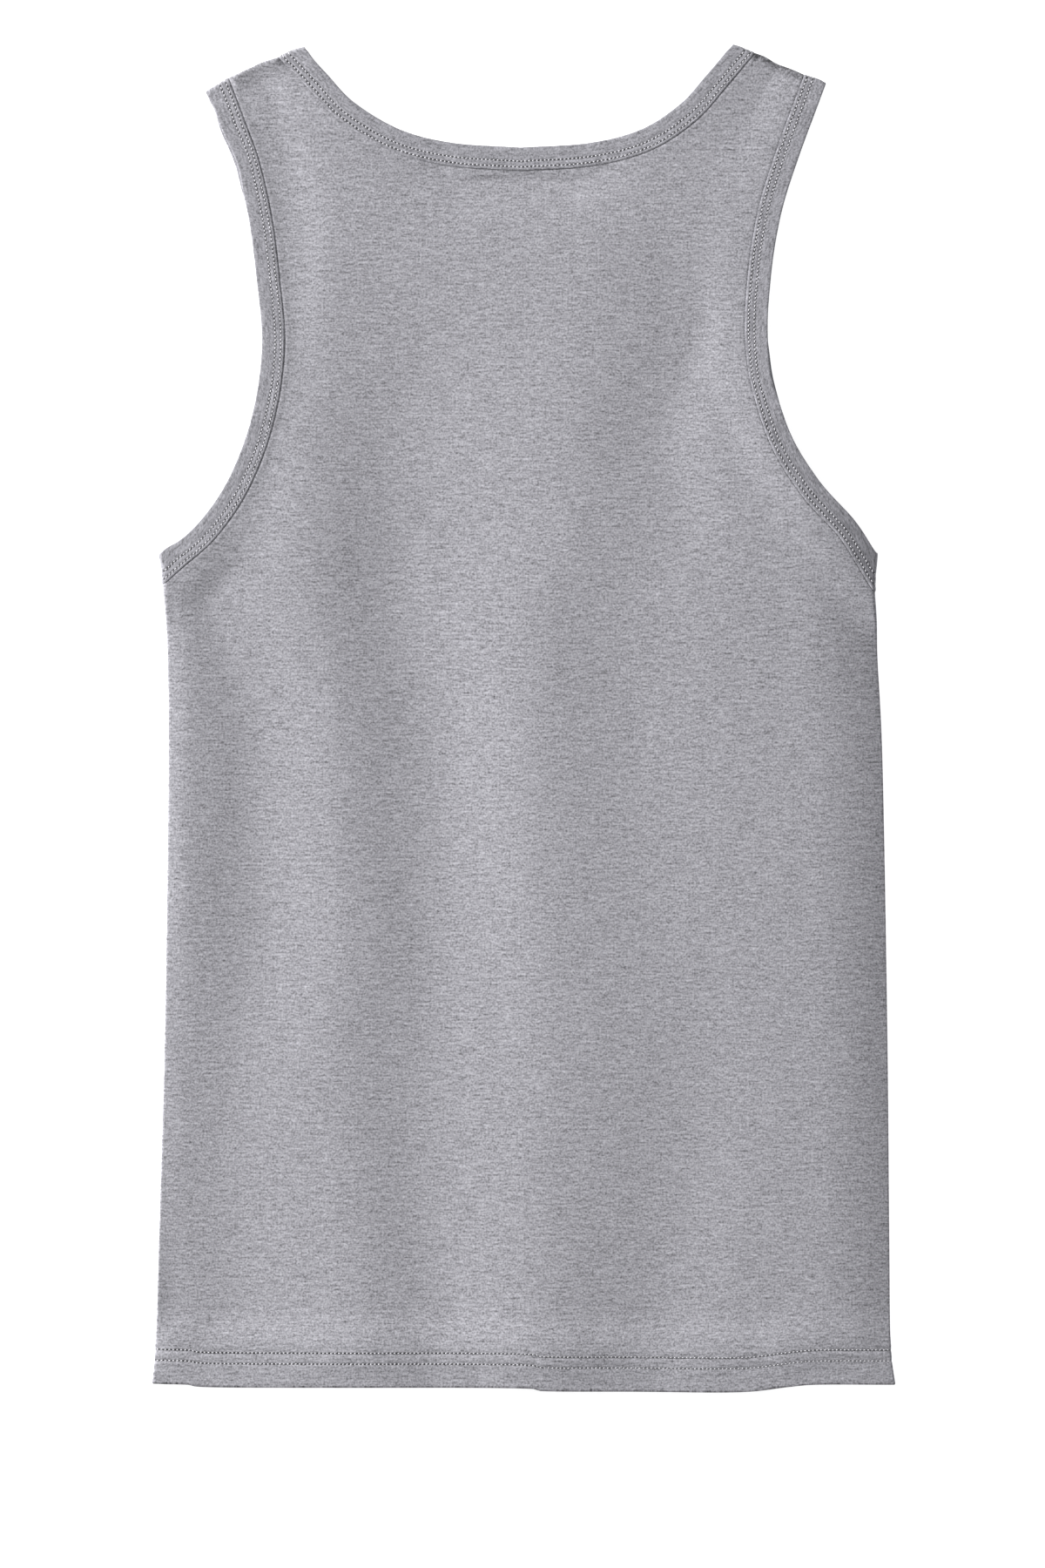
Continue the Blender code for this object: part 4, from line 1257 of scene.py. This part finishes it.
def thread_material(name, colour):
    """Two-ply sewing thread: fine slanted plies, a little lighter than the cloth."""
    material, tree, shader = new_material(name, Roughness=0.7, Sheen_Weight=0.1)
    at = node(tree, "ShaderNodeTexCoord").outputs["Object"]
    named = {"Vector": at, "Scale": 3200.0, "Distortion": 1.0}
    wave = node(tree, "ShaderNodeTexWave", named=named, bands_direction="DIAGONAL")
    named = {"Vector": at, "Scale": 700.0, "Detail": 1.0}
    fibre = Value(node(tree, "ShaderNodeTexNoise", named=named).outputs[0])
    plies = Value(wave.outputs[1])
    shade = plies.centred(0.2) + fibre.centred(0.5) + 1.0
    colour_and_bump(shader, colour, shade, 0.5, 0.00005, plies)
    return material


# Table, light and camera

FRAME_HEIGHT = 0.8712
FRAME_MIDDLE = (-0.0007, -0.0368)
CAMERA_HEIGHT = 5.0
SENSOR = 36.0
FLOOR_GLOW = 0.78
WINDOW_FROM = 160  # degrees from +X towards +Y
WINDOW_HEIGHT = 23  # degrees above the table
WINDOW_AWAY, WINDOW_SIZE = 8.0, 3.4
WINDOW_POWER = 1440
SKY_STRENGTH = 0.30


def add_floor():
    half = 20.0
    corners = np.array([(-half, -half, 0), (half, -half, 0), (half, half, 0), (-half, half, 0)])
    floor = add_mesh("floor", corners, np.array([[0, 1, 2, 3]]))
    material, tree, shader = new_material(
        "white_table", Base_Color=(0.9, 0.9, 0.9, 1), Specular_IOR_Level=0.1,
        Emission_Color=(1, 1, 1, 1), Emission_Strength=FLOOR_GLOW,
    )
    at = node(tree, "ShaderNodeTexCoord").outputs["Object"]
    grain = Value(node(tree, "ShaderNodeTexNoise", named={"Vector": at, "Scale": 3.0}).outputs[0])
    tree.links.new((grain.centred(0.06) + 0.8).socket, shader.inputs["Roughness"])
    floor.data.materials.append(material)


def add_light():
    window = bpy.data.lights.new("window", "AREA")
    window.shape = "DISK"
    window.size = WINDOW_SIZE
    window.energy = WINDOW_POWER
    window.color = (1.0, 0.995, 0.985)
    obj = add_object("window", window)
    around, up = math.radians(WINDOW_FROM), math.radians(WINDOW_HEIGHT)
    away = np.array([math.cos(around) * math.cos(up), math.sin(around) * math.cos(up), math.sin(up)])
    obj.location = np.array([*FRAME_MIDDLE, 0]) + WINDOW_AWAY * away
    obj.rotation_euler = (math.radians(90 - WINDOW_HEIGHT), 0, math.radians(WINDOW_FROM + 90))
    world = bpy.data.worlds.new("studio")
    world.use_nodes = True
    background = world.node_tree.nodes["Background"]
    background.inputs["Color"].default_value = (0.99, 0.995, 1.0, 1)
    background.inputs["Strength"].default_value = SKY_STRENGTH
    bpy.context.scene.world = world


def add_camera():
    camera = bpy.data.cameras.new("camera")
    camera.sensor_width = SENSOR
    camera.lens = SENSOR * CAMERA_HEIGHT / FRAME_HEIGHT
    camera.clip_end = 60
    obj = add_object("camera", camera)
    obj.location = (*FRAME_MIDDLE, CAMERA_HEIGHT)
    bpy.context.scene.camera = obj


# The garment

JERSEY_COLOUR = (0.3195, 0.3165, 0.3455)
BINDING_COLOUR = (0.289, 0.2865, 0.314)
THREAD_COLOUR = (0.64, 0.635, 0.665)


def dress(obj, node_name, material):
    obj.data.materials.append(material)
    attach(obj, "root")
    if node_name:
        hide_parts(node_name)


def main():
    # Only the panels get painted shade where they turn over and in the right armhole's rim groove
    panel_cloth = jersey("heather_jersey", JERSEY_COLOUR, HEM_ROWS,
                         row_painted_shade=0.09, rim_groove_shade=0.04, rim_highlight=0, painted_panel_shade=1)
    binding_cloth = jersey("heather_binding", BINDING_COLOUR, BINDING_ROWS,
                           row_painted_shade=0.03, rim_groove_shade=0.04, rim_highlight=0.08, painted_panel_shade=0)
    thread = thread_material("sewing_thread", THREAD_COLOUR)

    for seed, (panel, area) in enumerate((("back", 0.275), ("front", 0.257))):
        cloth = add_panel(f"{panel}_cloth", panel)
        dress(cloth, f"{panel}_panel", panel_cloth)
        stitches = add_stitches(f"{panel}_hem_stitches", hem_rows(panel), seed)
        dress(stitches, None, thread)

    rings = [("neck", neck_halves(), 0.72, 1.0)]
    rings += [(f"{s}_armhole", armhole_halves(s), 0.60, ARMHOLE_RELIEF[s]) for s in SIGN]
    for seed, (name, halves, length, strength) in enumerate(rings, start=2):
        cloth, rows = add_binding(f"{name}_binding_cloth", halves, strength)
        dress(cloth, f"{name}_binding", binding_cloth)
        stitches = add_stitches(f"{name}_stitches", rows, seed)
        dress(stitches, None, thread)

    add_floor()
    add_light()
    add_camera()
    bpy.context.scene.view_settings.view_transform = "Standard"


main()
